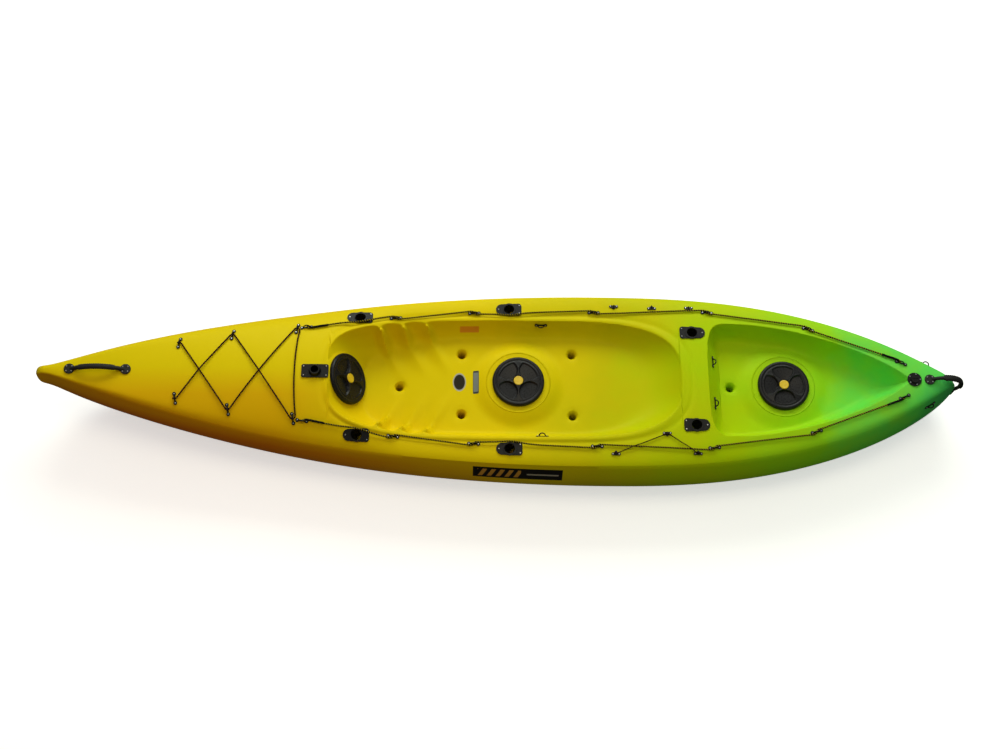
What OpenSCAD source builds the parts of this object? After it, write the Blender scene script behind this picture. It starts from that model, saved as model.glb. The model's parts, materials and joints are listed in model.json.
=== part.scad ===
// Sit-on-top fishing kayak: one rotomoulded hull with screw-in hatches, flush rod
// holders, carry handles, a drain bung, deck lines and shock cord.
// Bow towards -X, stern towards +X, port side -Y, keel on z = 0.

/* [Hull] */
// overall length with the stern handle, mm
hull_length = 3900; // [3600:10:4200]
// half of the greatest beam, mm
half_beam = 418; // [380:1:440]
// station of the greatest beam, mm from the middle towards the stern
beam_station = 460; // [300:10:600]
// height of the side deck above the keel, mm
gunwale_height = 277; // [250:1:310]
// how far the bow deck stands above the side deck, mm
bow_deck_rise = 60; // [40:1:80]
// how far the stern deck stands above the side deck, mm
stern_deck_rise = 20; // [5:1:40]
// height of the widest line of the side, mm
widest_height = 126; // [120:1:180]
// how far the deck edge stands inboard of the widest line at the bow, mm
bow_tumblehome = 30; // [20:1:60]
// how far the deck edge stands inboard of the widest line at the stern, mm
stern_tumblehome = 50; // [20:1:60]
// thickness of the moulded skin, mm
skin = 4; // [3.5:0.5:6]

/* [Cockpit and tankwell] */
// half width of the cockpit at its rim, mm
cockpit_half_width = 258; // [240:1:270]
// depth of the seat floor below the side deck, mm
seat_depth = 78; // [60:1:95]
// depth of the foot wells below the side deck, mm
foot_depth = 124; // [100:1:135]
// half width of the tankwell at its rim, mm
tank_half_width = 250; // [230:1:265]
// depth of the tankwell floor below the side deck, mm
tank_depth = 94; // [80:1:110]
// lean of the bulkhead ahead of the feet, degrees from level
bulkhead_angle = 54; // [45:1:70]

/* [Hatches] */
// radius of a hatch lid, mm
lid_radius = 110; // [100:1:115]
// clear radius through a hatch, mm
hatch_clear_radius = 90; // [80:1:92]
// lift of a lid before it comes away, mm
lid_lift = 60; // [40:1:80]

/* [Rod holders] */
// clear radius of a rod holder, mm
rod_bore_radius = 21; // [19:0.5:24]
// depth of a rod holder along its tube, mm
rod_bore_depth = 150; // [120:5:170]
// lean of a rod holder, degrees
rod_lean = 18; // [10:1:25]

/* [Scuppers] */
// radius of a scupper bore, mm
scupper_radius = 16; // [12:0.5:20]
// radius of the scupper mouth, mm
scupper_mouth = 25; // [20:1:30]

/* [Cords] */
// radius of the deck line, mm
line_radius = 2.5; // [2:0.25:3]
// radius of the shock cord, mm
shock_radius = 2.5; // [2:0.25:3]

/* [Hidden] */

half_length = hull_length / 2;
// the stern handle stands this far past the stern
handle_reach = 20;
stern_end = half_length - handle_reach;
// pocket clearance round a fitting let into the skin
gap = 0.4;
// a cut runs this far past a face
over = 1;

function smooth(t) = let (u = max(0, min(1, t))) u * u * (3 - 2 * u);
function mix(a, b, t) = a + (b - a) * t;
function signed_power(v, e) = sign(v) * pow(abs(v), e);

// ---- hull lines, all as functions of the station x ----
bow_plan = [2.07, 0.883];
stern_plan = [2.461, 0.826];
function plan_part(x) = (x - beam_station) / ((x < beam_station ? -half_length : stern_end) - beam_station);
function plan_law(x) = x < beam_station ? bow_plan : stern_plan;
function widest(x) = half_beam * pow(max(0, 1 - pow(abs(plan_part(x)), plan_law(x)[0])), plan_law(x)[1]);
function tumblehome(x) = mix(bow_tumblehome, stern_tumblehome, smooth((x + 1500) / 3200));
function deck_half(x) = let (b = widest(x)) b - tumblehome(x) * b / (b + 60);
function widest_z(x) = widest_height + 118 * pow(max(0, -x - 300) / (half_length - 300), 1.5);
// end rounding: 0 at the stem, 1 once clear of it
bow_round = 50;
stern_round = 90;
bow_tip_z = 275;
stern_tip_z = 164;
function end_round(x) = let (e = x < 0 ? (x + half_length) / bow_round : (stern_end - x) / stern_round)
    e >= 1 ? 1 : sqrt(max(0, 1 - pow(1 - e, 2)));
function tip_z(x) = x < 0 ? bow_tip_z : stern_tip_z;
function rounded_z(x, z) = mix(tip_z(x), z, end_round(x));
rocker_start = 620;
function rocker_part(x) = max(0, (abs(x) - rocker_start) / (half_length - rocker_start));
function keel_z(x) = let (u = rocker_part(x))
    x < 0 ? 26 * u * u + 236 * pow(u, 9) : 22 * u * u + 62 * pow(u, 10);
function crest_z(x) = gunwale_height - 3 + 57 * smooth((-x - 700) / 1050);
function crown(x) = mix(mix(8, bow_deck_rise + gunwale_height - crest_z(x), smooth((-x - 360) / 380)),
    stern_deck_rise + 2, smooth((x - 480) / 260));
// height of the moulded deck before the wells are let in
deck_edge = 14;
function deck_z(x, y) = let (s = min(1, abs(y) / max(1, deck_half(x))))
    rounded_z(x, crest_z(x) + crown(x) * (1 - s * s) - deck_edge * pow(s, 14));
function deck_slope_x(x, y) = (deck_z(x + 5, y) - deck_z(x - 5, y)) / 10;
function deck_slope_y(x, y) = (deck_z(x, y + 5) - deck_z(x, y - 5)) / 10;

// ---- cross section: keel, bilge, side, deck edge, crown ----
// steps round the bilge, the side and the deck, outside and inside
outer_steps = [6, 4, 6];
inner_steps = [4, 2, 4];
function bilge_power(x) = mix(2 / 3.1, 2 / 1.75, smooth((abs(x) - 500) / 1400));
function bilge_point(x, t, w) = let (a = 90 * t, e = bilge_power(x))
    [(widest(x) - w) * pow(sin(a), e),
     widest_z(x) - (widest_z(x) - keel_z(x) - w) * pow(cos(a), e)];
function side_point(x, t, w) = [mix(widest(x) - w, deck_half(x) - w, pow(t, 1.7)),
     mix(widest_z(x), crest_z(x) - deck_edge - w, t)];
function deck_point(x, t, w) = let (s = pow(1 - t, 0.8))
    [(deck_half(x) - w) * s, crest_z(x) + crown(x) * (1 - s * s) - deck_edge * pow(s, 14) - w];
function half_section(x, w, n) = concat(
    [for (i = [0 : n[0] - 1]) bilge_point(x, i / n[0], w)],
    [for (i = [0 : n[1] - 1]) side_point(x, i / n[1], w)],
    [for (i = [0 : n[2]]) deck_point(x, i / n[2], w)]);
function section(x, w, steps) = let (h = half_section(x, w, steps), n = len(h))
    concat([for (p = h) [x, -max(0, p[0]), rounded_z(x, p[1])]],
        [for (i = [n - 2 : -1 : 1]) [x, max(0, h[i][0]), rounded_z(x, h[i][1])]]);
function ring_faces(n, k) = [for (i = [0 : n - 1]) for (t = [0, 1])
    t == 0 ? [k * n + i, k * n + (i + 1) % n, (k + 1) * n + i]
           : [k * n + (i + 1) % n, (k + 1) * n + (i + 1) % n, (k + 1) * n + i]];
// closed solid through a list of rings with the same number of points
module skin_rings(rings) {
    n = len(rings[0]);
    m = len(rings);
    polyhedron(
        points = [for (r = rings) each r],
        faces = concat([[for (i = [n - 1 : -1 : 0]) i]],
            [for (k = [0 : m - 2]) each ring_faces(n, k)],
            [[for (i = [0 : n - 1]) (m - 1) * n + i]]),
        convexity = 10);
}
// the stems are blunt by this much
hull_tip = 0.4;
// stations crowd together towards the stems; the inside uses some of the same ones
station_steps = 42;
hull_middle = (stern_end - half_length) / 2;
hull_reach = (stern_end + half_length) / 2 - hull_tip;
function station(i) = hull_middle - hull_reach * cos(180 * i / station_steps);
outer_stations = [for (i = [0 : station_steps]) station(i)];
inner_stations = concat([for (i = [5 : 16]) station(i)], [for (i = [18 : 2 : station_steps - 4]) station(i)]);

// ---- wells: outline in plan, walls and floor ----
// [middle station, reach forward, reach aft, half width, forward law, aft law]
cockpit_plan = [200, 935, 535, cockpit_half_width, [4, 0.25], [2.9, 0.345]];
tank_plan = [960, 103, 742, tank_half_width, [4, 0.25], [1.8, 0.82]];
function plan_point(w, a, f, r, b) = let (c = cos(a), s = sin(a), law = c < 0 ? w[4] : w[5])
    [w[0] + (c < 0 ? w[1] - f : w[2] - r) * signed_power(c, 2 / law[0]), (w[3] - b) *
        signed_power(s, 2 * law[1])];
// level of the well floor along the boat
function cockpit_floor_z(x) = gunwale_height - mix(foot_depth, seat_depth, smooth((x + 560) / 380));
function tank_floor_z(x) = gunwale_height - tank_depth;
// how far the foot of the wall stands inside the rim: [front, rear, side], mm
cockpit_inset = [foot_depth * 1.45 / tan(bulkhead_angle), 190, 50];
tank_inset = [62, 150, 46];
wall_steps = 6;
well_top = 90;
// the wall starts this far under the deck, below the rounded rim
rim_fall = 8;
// share of the wall height at share t of its inset: flat at the bulkhead, dished elsewhere
function wall_fall(t, a) = mix(1 - pow(1 - t, 2.1), t, pow(max(0, -cos(a)), 6));
function well_ring(w, inset, t, grow, steps, cockpit) = [for (i = [0 : steps - 1])
    let (a = -360 * i / steps,
         p = plan_point(w, a, inset[0] * t - grow, inset[1] * t - grow, inset[2] * t - grow),
         rim = plan_point(w, a, 0, 0, 0),
         floor_z = cockpit ? cockpit_floor_z(p[0]) : tank_floor_z(p[0]),
         top_z = deck_z(rim[0], rim[1]) - rim_fall)
    [p[0], p[1], t < 0 ? top_z + well_top : mix(top_z, floor_z, wall_fall(t, a)) - grow]];
function floor_ring(w, inset, t, grow, steps, cockpit) = [for (i = [0 : steps - 1])
    let (a = -360 * i / steps,
         q = plan_point(w, a, inset[0] - grow, inset[1] - grow, inset[2] - grow),
         p = [w[0] + (q[0] - w[0]) * t, q[1] * t])
    [p[0], p[1], (cockpit ? cockpit_floor_z(p[0]) : tank_floor_z(p[0])) - grow]];
// rings of the floor, as shares of its reach: the tankwell floor is flat and needs none
cockpit_floor_rings = [0.48, 0.6, 0.72, 0.86];
module well(w, inset, grow, steps, cockpit)
    skin_rings(concat(
        [for (t = cockpit ? cockpit_floor_rings : []) floor_ring(w, inset, t, grow, steps, cockpit)],
        [for (k = [wall_steps : -1 : 0]) well_ring(w, inset, k / wall_steps, grow, steps, cockpit)],
        [well_ring(w, inset, -0.2, grow, steps, cockpit)]));
module cockpit_well(grow) well(cockpit_plan, cockpit_inset, grow, 34, true);
module tank_well(grow) well(tank_plan, tank_inset, grow, 28, false);

module outer_hull() skin_rings([for (x = outer_stations) section(x, 0, outer_steps)]);
module inner_hull() skin_rings([for (x = inner_stations) section(x, skin, inner_steps)]);

// ---- placing fittings ----
// stand children on the deck, square to it; turn is their heading
module on_deck(x, y, turn = 0, lift = gap)
    translate([x, y, deck_z(x, y)])
        rotate([atan(deck_slope_y(x, y)), -atan(deck_slope_x(x, y)), 0])
            rotate([0, 0, turn])
                translate([0, 0, lift])
                    children();
function wall_spot(w, inset, a, t, cockpit) = let (p = plan_point(w, a, inset[0] * t, inset[1] * t,
    inset[2] * t),
    rim = plan_point(w, a, 0, 0, 0), floor_z = cockpit ? cockpit_floor_z(p[0]) : tank_floor_z(p[0]))
    [p[0], p[1], mix(deck_z(rim[0], rim[1]) - rim_fall, floor_z, wall_fall(t, a))];
function unit(v) = v / norm(v);
// stand children on a well wall, their X along the wall and their Z out of it
module on_wall(w, inset, a, t, cockpit, lift) {
    spot = wall_spot(w, inset, a, t, cockpit);
    along = unit(wall_spot(w, inset, a + 1, t, cockpit) - wall_spot(w, inset, a - 1, t, cockpit));
    down = unit(wall_spot(w, inset, a, t + 0.06, cockpit) - wall_spot(w, inset, a, t - 0.06, cockpit));
    out = unit(cross(along, down));
    up = cross(out, along);
    multmatrix([[along[0], up[0], out[0], spot[0] + out[0] * lift],
                [along[1], up[1], out[1], spot[1] + out[1] * lift],
                [along[2], up[2], out[2], spot[2] + out[2] * lift],
                [0, 0, 0, 1]])
        children();
}
module both_sides() {
    children();
    mirror([0, 1, 0]) children();
}
module ring(outer, inner, height) difference() {
    cylinder(r = outer, h = height, $fn = 96);
    translate([0, 0, -over]) cylinder(r = inner, h = height + 2 * over, $fn = 96);
}
black = [0.06, 0.06, 0.065];
steel = [0.72, 0.73, 0.74];
yellow = [0.86, 0.68, 0.06];

// ---- screws: pan head on z = 0, thread down into the skin ----
screw_head = 3.2;
screw_shank = 2;
screw_length = 14;
module screw() {
    cylinder(r = screw_head, h = 1, $fn = 24);
    translate([0, 0, 1]) cylinder(r1 = screw_head, r2 = screw_head * 0.6, h = 1.2, $fn = 24);
    translate([0, 0, -screw_length]) cylinder(r = screw_shank, h = screw_length, $fn = 16);
}
module screw_hole(h) translate([0, 0, -over]) cylinder(r = screw_shank + 0.15, h = h + 2 * over, $fn = 16);

// ---- hatches ----
// thickness of the hull under a hatch seat, mm
seat_top = 8;
// [centre of the seat x, z, lean, how far the seat stands over the skin]
centre_hatch = [56, gunwale_height - seat_depth + 26, 0, 26];
rear_hatch = [1188, gunwale_height - tank_depth + 20, 0, 20];
front_hatch = [-667, 244.5, bulkhead_angle, 5];
hatches = [centre_hatch, front_hatch, rear_hatch];
boss_radius = lid_radius + 16;
front_boss_radius = lid_radius + 1;
neck_radius = hatch_clear_radius + 7;
flange_radius = lid_radius - 3;
flange_thick = 4;
neck_depth = 30;
lid_seat = 7;
module at_hatch(h, lift = 0) translate([h[0], 0, h[1]]) rotate([0, h[2], 0])
    translate([0, 0, lift]) children();
collar_screw_ring = (neck_radius + flange_radius) / 2;
module collar_screw_spots() for (a = [0 : 60 : 300]) rotate([0, 0, a + 15])
    translate([collar_screw_ring, 0, 0])
    children();
module hatch_collar() difference() {
    union() {
        translate([0, 0, 0.1]) cylinder(r = flange_radius, h = flange_thick - 0.1, $fn = 96);
        translate([0, 0, -neck_depth]) cylinder(r = neck_radius, h = neck_depth + 1, $fn = 96);
    }
    translate([0, 0, -neck_depth - over]) cylinder(r = hatch_clear_radius, h = 50, $fn = 96);
    collar_screw_spots() screw_hole(flange_thick);
}
module hatch_collar_screws_one() collar_screw_spots() translate([0, 0, flange_thick])
    mirror([0, 0, 1]) translate([0, 0, -1.2]) {
        cylinder(r = 2.4, h = 1.2, $fn = 20);
        cylinder(r = screw_shank, h = 15, $fn = 16);
    }
module hatch_seal() translate([0, 0, flange_thick + 0.1])
    ring(hatch_clear_radius + 5, hatch_clear_radius + 1.5, lid_seat - flange_thick - 0.2);
lid_edge = 9;
lid_dome = 15;
button_radius = 20;
// lid on its seat: skirt round the collar, plug inside it, domed top
module lid_blank() rotate_extrude($fn = 120) polygon(concat(
    [[0, lid_seat], [hatch_clear_radius - 6, lid_seat], [hatch_clear_radius - 6, -16],
     [hatch_clear_radius - 1.5, -16], [hatch_clear_radius - 1.5, lid_seat],
     [flange_radius + 0.8, lid_seat], [flange_radius + 0.8, 1.5], [lid_radius, 1.5],
     [lid_radius, lid_seat + lid_edge - 5], [lid_radius - 6, lid_seat + lid_edge],
     [lid_radius - 16, lid_seat + lid_edge + 1]],
    [for (r = [80, 60, 40, 20, 0]) [r, lid_seat + lid_dome - 5 * pow(r / 90, 2)]]));
recess_radius = 46;
recess_centre = 68;
recess_floor = lid_seat + 5;
module lid_recesses() for (a = [45 : 90 : 315]) rotate([0, 0, a])
    intersection() {
        translate([recess_centre, 0, recess_floor]) cylinder(r = recess_radius, h = 30, $fn = 64);
        translate([0, 0, recess_floor]) cylinder(r = lid_radius - 24, h = 30, $fn = 96);
    }
module hatch_lid(turn) rotate([0, 0, turn]) difference() {
    lid_blank();
    lid_recesses();
    translate([0, 0, lid_seat + lid_dome - 4]) cylinder(r = button_radius + 0.3, h = 20, $fn = 48);
}
module hatch_button() {
    translate([0, 0, lid_seat + lid_dome - 3.9]) cylinder(r = button_radius, h = 4, $fn = 48);
    translate([0, 0, lid_seat + lid_dome + 0.1])
        cylinder(r1 = button_radius, r2 = button_radius - 4, h = 2, $fn = 48);
}

// ---- rod holders ----
// [x, y, heading of the two-screw end, lean towards the stern]
rod_spots = [[-613, 262, 0, 1], [18, 312, 0, 1], [792, 207, 180, -1]];
rod_flange = 3.5;
rod_lip = 2;
rod_wall = 3.5;
rod_tube = rod_bore_radius + rod_wall;
// one rounded end with one screw, one squarer end with two, joined round the bore
module rod_plate_outline() hull() {
    translate([-32, 0]) circle(r = 25, $fn = 48);
    for (s = [-1, 1]) translate([38, s * 15]) circle(r = 13, $fn = 32);
}
rod_screws = [[-46, 0], [42, 18], [42, -18]];
module rod_axis(s) translate([s[0], s[1], deck_z(s[0], s[1])]) rotate([0, s[3] * -rod_lean, 0]) children();
module rod_holder(s) difference() {
    union() {
        on_deck(s[0], s[1], s[2]) {
            linear_extrude(rod_flange) rod_plate_outline();
            cylinder(r = rod_tube + 4, h = rod_flange + rod_lip, $fn = 48);
        }
        rod_axis(s) translate([0, 0, -rod_bore_depth - rod_wall])
            cylinder(r = rod_tube, h = rod_bore_depth + 3 * rod_wall, $fn = 48);
    }
    on_deck(s[0], s[1], s[2]) translate([-60, -60, rod_flange + rod_lip]) cube([120, 120, 60]);
    rod_axis(s) translate([0, 0, -rod_bore_depth])
        cylinder(r = rod_bore_radius, h = rod_bore_depth + 60, $fn = 48);
    on_deck(s[0], s[1], s[2]) for (p = rod_screws) translate([p[0], p[1], 0]) screw_hole(rod_flange);
}
module rod_holder_screws_at(s) on_deck(s[0], s[1], s[2]) for (p = rod_screws)
    translate([p[0], p[1], rod_flange]) screw();

// ---- accessory socket on the bow deck ----
socket_x = -791;
socket_plate = [112, 58, 5];
socket_bore = 16;
socket_wall = 5;
socket_height = 24;
socket_depth = 60;
socket_screws = [for (sx = [-1, 1]) for (sy = [-1, 1]) [sx * 47, sy * 20]];
module rounded_plate(size, r) hull() for (sx = [-1, 1]) for (sy = [-1, 1])
    translate([sx * (size[0] / 2 - r), sy * (size[1] / 2 - r), 0]) cylinder(r = r, h = size[2], $fn = 24);
module socket() difference() {
    union() {
        rounded_plate(socket_plate, 8);
        cylinder(r1 = socket_bore + socket_wall + 6, r2 = socket_bore + socket_wall, h = socket_height,
            $fn = 64);
        translate([0, 0, -socket_depth + socket_height])
            cylinder(r = socket_bore + socket_wall, h = socket_depth, $fn = 64);
    }
    translate([0, 0, socket_height - socket_depth + 4]) cylinder(r = socket_bore, h = socket_depth, $fn = 64);
    for (p = socket_screws) translate([p[0], p[1], 0]) screw_hole(socket_plate[2]);
}

// ---- carry handles: one flexible moulding each, screwed down at both pads ----
pad_radius = 22;
pad_thick = 6;
pad_screw_reach = 15;
module pad_screw_spots() for (a = [45 : 90 : 315]) rotate([0, 0, a])
    translate([pad_screw_reach, 0, 0]) children();
module handle_pad() difference() {
    cylinder(r = pad_radius, h = pad_thick, $fn = 64);
    pad_screw_spots() screw_hole(pad_thick);
}
module handle_screws() pad_screw_spots() translate([0, 0, pad_thick]) screw();
// the stem is narrow, so its pad is cut to a strip with two screws under the grip
stem_pad_width = 24;
module stem_screw_spots() for (s = [-1, 1]) translate([s * 7, -13, 0]) children();
module stem_pad() difference() {
    intersection() {
        cylinder(r = pad_radius, h = pad_thick, $fn = 64);
        translate([-stem_pad_width / 2, -pad_radius, 0]) cube([stem_pad_width, 2 * pad_radius, pad_thick]);
    }
    stem_screw_spots() screw_hole(pad_thick);
}
// grip swept round the Y axis: the angles are measured up from +X
module grip_arc(radius, thick, from, to) rotate([90, 0, 0]) rotate([0, 0, from])
    rotate_extrude(angle = to - from, $fn = 120) translate([radius, 0]) circle(r = thick, $fn = 32);
bow_handle_x = [-1800, -1570];
bow_handle_rise = 34;
bow_grip_radius = 9;
bow_handle_z = max(deck_z(bow_handle_x[0], 0), deck_z(bow_handle_x[1], 0)) + gap;
bow_handle_mid = (bow_handle_x[0] + bow_handle_x[1]) / 2;
bow_grip_span = bow_handle_x[1] - bow_handle_x[0] - 16;
bow_arc_radius = (pow(bow_grip_span, 2) / 4 + pow(bow_handle_rise, 2)) / (2 * bow_handle_rise);
bow_arc_half = asin(bow_grip_span / 2 / bow_arc_radius);
module at_bow_pads() for (x = bow_handle_x) translate([x, 0, bow_handle_z]) children();
// the stern handle bends over the corner of the stern, from the deck to the stem
stem_flat = 8;
stern_arc_radius = 88;
stern_grip_radius = 8;
stern_arc_centre = [half_length - stern_arc_radius - stern_grip_radius, 232];
stern_pad_x = 1790;
stern_pad_z = deck_z(stern_pad_x, 0) + gap;
stem_pad_z = 168;
stem_cut = [135, 204];
stern_arc_angles = [-40, 130];

// ---- drain ----
drain_x = 1725;
drain_radius = 30;
drain_plate = 3;
drain_bore = 13;
drain_pitch = 22;
module drain_flange_solid() difference() {
    union() {
        cylinder(r = drain_radius, h = drain_plate, $fn = 72);
        translate([0, 0, -16]) cylinder(r = drain_bore + 3, h = 17, $fn = 48);
    }
    translate([0, 0, -20]) cylinder(r = drain_bore, h = 40, $fn = 48);
    for (a = [0 : 72 : 288]) rotate([0, 0, a]) translate([drain_pitch + 1.5, 0, 0]) screw_hole(drain_plate);
}
module drain_flange_screws_solid() for (a = [0 : 72 : 288]) rotate([0, 0, a])
    translate([drain_pitch + 1.5, 0, drain_plate]) screw();
module drain_seal_solid() translate([0, 0, drain_plate + 0.1]) ring(drain_bore + 3.5, drain_bore + 0.8, 1.6);
module drain_bung_solid() difference() {
    union() {
        translate([0, 0, drain_plate + 1.8]) cylinder(r = drain_bore + 4, h = 5, $fn = 48);
        translate([0, 0, -10]) cylinder(r = drain_bore - 0.6, h = 15, $fn = 48);
    }
    // coin slot across the head
    translate([-12, -1.5, drain_plate + 4.3]) cube([24, 3, 5]);
}

// ---- small deck fittings ----
eye_spacing = 39;
eye_plate = 3;
eye_arch = 13;
eye_wire = 2.5;
module pad_eye() difference() {
    union() {
        for (s = [-1, 1]) translate([s * eye_spacing / 2, 0, 0]) cylinder(r = 7.5, h = eye_plate, $fn = 32);
        translate([-eye_spacing / 2, -3.5, 0]) cube([eye_spacing, 7, eye_plate]);
        translate([0, 0, eye_plate - 1]) rotate([90, 0, 0])
            rotate_extrude(angle = 180, $fn = 64) translate([eye_arch, 0]) circle(r = eye_wire, $fn = 16);
    }
    for (s = [-1, 1]) translate([s * eye_spacing / 2, 0, 0]) screw_hole(eye_plate);
}
module pad_eye_screws() for (s = [-1, 1]) translate([s * eye_spacing / 2, 0, eye_plate]) screw();
// small eye with its two screws abreast and a hook pointing along -Y
keeper_spacing = 26;
module keeper_eye() difference() {
    union() {
        for (s = [-1, 1]) translate([s * keeper_spacing / 2, 0, 0]) cylinder(r = 6, h = eye_plate, $fn = 32);
        linear_extrude(eye_plate) polygon([[-keeper_spacing / 2, 5], [keeper_spacing / 2, 5],
            [keeper_spacing / 2, -4],
            [0, -13], [-keeper_spacing / 2, -4]]);
        translate([0, -4, eye_plate - 1]) rotate([90, 0, 90])
            rotate_extrude(angle = 180, $fn = 48) translate([8.5, 0]) circle(r = 2, $fn = 16);
    }
    for (s = [-1, 1]) translate([s * keeper_spacing / 2, 0, 0]) screw_hole(eye_plate);
}
module keeper_eye_screws() for (s = [-1, 1]) translate([s * keeper_spacing / 2, 0, eye_plate]) screw();

// the small eyes stand on a thin bedding washer's thickness
eye_lift = 1.4;
// deck line eyes on the starboard side: [x, y]; heading follows the next eye
line_eyes = [[-838, 207], [-465, 264], [-132, 292], [378, 300], [864, 303], [1294, 230], [1676, 76]];
function heading(a, b) = atan2(b[1] - a[1], b[0] - a[0]);
function line_heading(i) = i == 0 ? heading(line_eyes[0], line_eyes[1])
    : i == len(line_eyes) - 1 ? heading(line_eyes[i - 1], line_eyes[i])
    : heading(line_eyes[i - 1], line_eyes[i + 1]);
module at_line_eye(i) on_deck(line_eyes[i][0], line_eyes[i][1], line_heading(i), eye_lift) children();
module deck_line_eyes() color(black) both_sides() for (i = [0 : len(line_eyes) - 1]) at_line_eye(i) pad_eye();
// shock cord eyes of the bow: [x, y, heading]
shock_eyes = [[-1360, 122, 80], [-1143, 165, 80], [-876, 199, 80]];
module shock_cord_eyes() color(black) both_sides() for (e = shock_eyes) on_deck(e[0], e[1], e[2],
    eye_lift) pad_eye();
keeper_spots = [[455, -331, 180], [669, -243, 0], [795, -328, 180], [465, 331, 0], [628, 322, 180],
    [787, 326, 0]];
module at_keeper(e) on_deck(e[0], e[1], e[2], eye_lift) children();
seat_eye_angle = 90.15;
seat_eye_depth = 0.12;
module at_seat_eye() on_wall(cockpit_plan, cockpit_inset, seat_eye_angle, seat_eye_depth, true,
    1.2) children();
tank_eye_angle = 170.6;
tank_eye_depth = 0.42;
module at_tank_eye() on_wall(tank_plan, tank_inset, tank_eye_angle, tank_eye_depth, false, 1.2) children();

// ---- cords: a round tube swept along its own route ----
cord_sides = 8;
function cord_ring(p, d, r) = let (f = unit(d), side = unit(cross(f, [0, 0, 1])), up = cross(side, f))
    [for (i = [0 : cord_sides - 1]) p + r * (cos(360 * i / cord_sides) * side +
        sin(360 * i / cord_sides) * up)];
module cord(route, r) {
    n = len(route);
    skin_rings([for (i = [0 : n - 1])
        cord_ring(route[i], route[min(n - 1, i + 1)] - route[max(0, i - 1)], r)]);
}
// the cord stands this far over the deck, clear of the plates of its eyes
cord_stand = eye_lift + eye_plate + line_radius + 0.5;
function on_deck_point(p, h) = let (sx = deck_slope_x(p[0], p[1]), sy = deck_slope_y(p[0], p[1]),
    n = unit([-sx, -sy, 1]))
    [p[0], p[1], deck_z(p[0], p[1])] + n * h;
function along_line(a, b, n) = [for (i = [0 : n - 1]) a + (b - a) * i / n];
function turned(v, a) = [v[0] * cos(a) - v[1] * sin(a), v[0] * sin(a) + v[1] * cos(a)];
// the line weaves through each eye from its outer side to its inner side
weave = 6.8;
eye_weave = [[-28, weave], [-9, weave], [0, 0], [9, -weave], [28, -weave]];
first_weave = [[4.5, 2.5], [7, -5], [28, -weave]];
last_weave = [[-28, weave], [-7, 5], [-4.5, -2.5]];
last_eye = len(line_eyes) - 1;
function eye_pass(i) = [for (o = i == 0 ? first_weave : i == last_eye ? last_weave : eye_weave)
    line_eyes[i] + turned(o, line_heading(i))];
function line_plan(i) = let (pass = eye_pass(i), end = pass[len(pass) - 1])
    concat(pass, i == last_eye ? [] : [for (k = [1 : 6]) mix(end, eye_pass(i + 1)[0], k / 7)]);
deck_line_route = [for (i = [0 : len(line_eyes) - 1]) each line_plan(i)];
// the line rides over the inner edges of the forward rod holders
rod_lift = 3.4;
function over_rods(x) = rod_lift * max(exp(-pow((x - rod_spots[0][0]) / 80, 2)),
    exp(-pow((x - rod_spots[1][0]) / 80, 2)));
// and is pushed inboard of their mouths
rod_push = [7.8, 10];
function beside_rods(x) = max([for (i = [0, 1]) rod_push[i] * exp(-pow((x - rod_spots[i][0]) / 60, 2))]);
module deck_line() cord([for (p = deck_line_route)
    on_deck_point([p[0], p[1] - beside_rods(p[0])], cord_stand + over_rods(p[0]))], line_radius);

// ---- shock cords ----
cross_lift = 2 * shock_radius + 0.8;
function raised(p, spots, reach) = max([for (c = spots) cross_lift * exp(-pow(norm(p - c) / reach, 2))]);
function leg(a, b, n) = [for (k = [1 : n]) mix(a, b, k / (n + 1))];
function across(p) = [p[0], -p[1]];
function shock_eye(i) = [shock_eyes[i][0], shock_eyes[i][1]];
// half the lacing: bow eye, port middle eye, starboard aft eye, then over to port
shock_out = [shock_eye(0) + [-9, 0], shock_eye(0), shock_eye(0) + [9, -4]];
shock_mid = [for (o = [[-9, -5], [0, 0], [9, -5]]) across(shock_eye(1) + o)];
shock_aft = [shock_eye(2) + [-9, -3], shock_eye(2), shock_eye(2) + [8, -3], shock_eye(2) + [10.5, -14]];
function half_lacing() = concat(shock_out, leg(shock_out[2], shock_mid[0], 9), shock_mid,
    leg(shock_mid[2], shock_aft[0], 9), shock_aft);
function reversed(v) = [for (i = [len(v) - 1 : -1 : 0]) v[i]];
shock_first = half_lacing();
shock_last = [for (p = reversed(shock_first)) across(p)];
shock_crossings = [[-1262, 0], [-1014, 0]];
shock_tie = [for (p = leg(shock_aft[3], across(shock_aft[3]), 8)) p - [10 * (1 - pow(p[1] / 190, 2)), 0]];
bow_shock_route = concat([for (p = concat(shock_first, shock_tie)) on_deck_point(p, cord_stand)],
    [for (p = shock_last) on_deck_point(p, cord_stand + raised(p, shock_crossings, 55))]);
module bow_shock_cord() color(black) cord(bow_shock_route, shock_radius);
// the paddle keeper is a V of thin cord over the port deck line
keeper_radius = 2;
keeper_stand = eye_lift + eye_plate + keeper_radius + 0.4;
function keeper_end(i, o) = [keeper_spots[i][0], keeper_spots[i][1]] + o;
keeper_plan = concat([keeper_end(0, [-8, 5]), keeper_end(0, [8, 5])],
    leg(keeper_end(0, [8, 5]), keeper_end(1, [-9, -6]), 9),
    [keeper_end(1, [-9, -6]), keeper_end(1, [0, -4]), keeper_end(1, [9, -6])],
    leg(keeper_end(1, [9, -6]), keeper_end(2, [-8, 5]), 7), [keeper_end(2, [-8, 5]), keeper_end(2, [8, 5])]);
keeper_crossings = [[528, -303], [758, -301]];
module paddle_keeper_cord() color(black) cord([for (p = keeper_plan)
    on_deck_point(p, keeper_stand + 1.3 * raised(p, keeper_crossings, 26))], keeper_radius);

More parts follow.
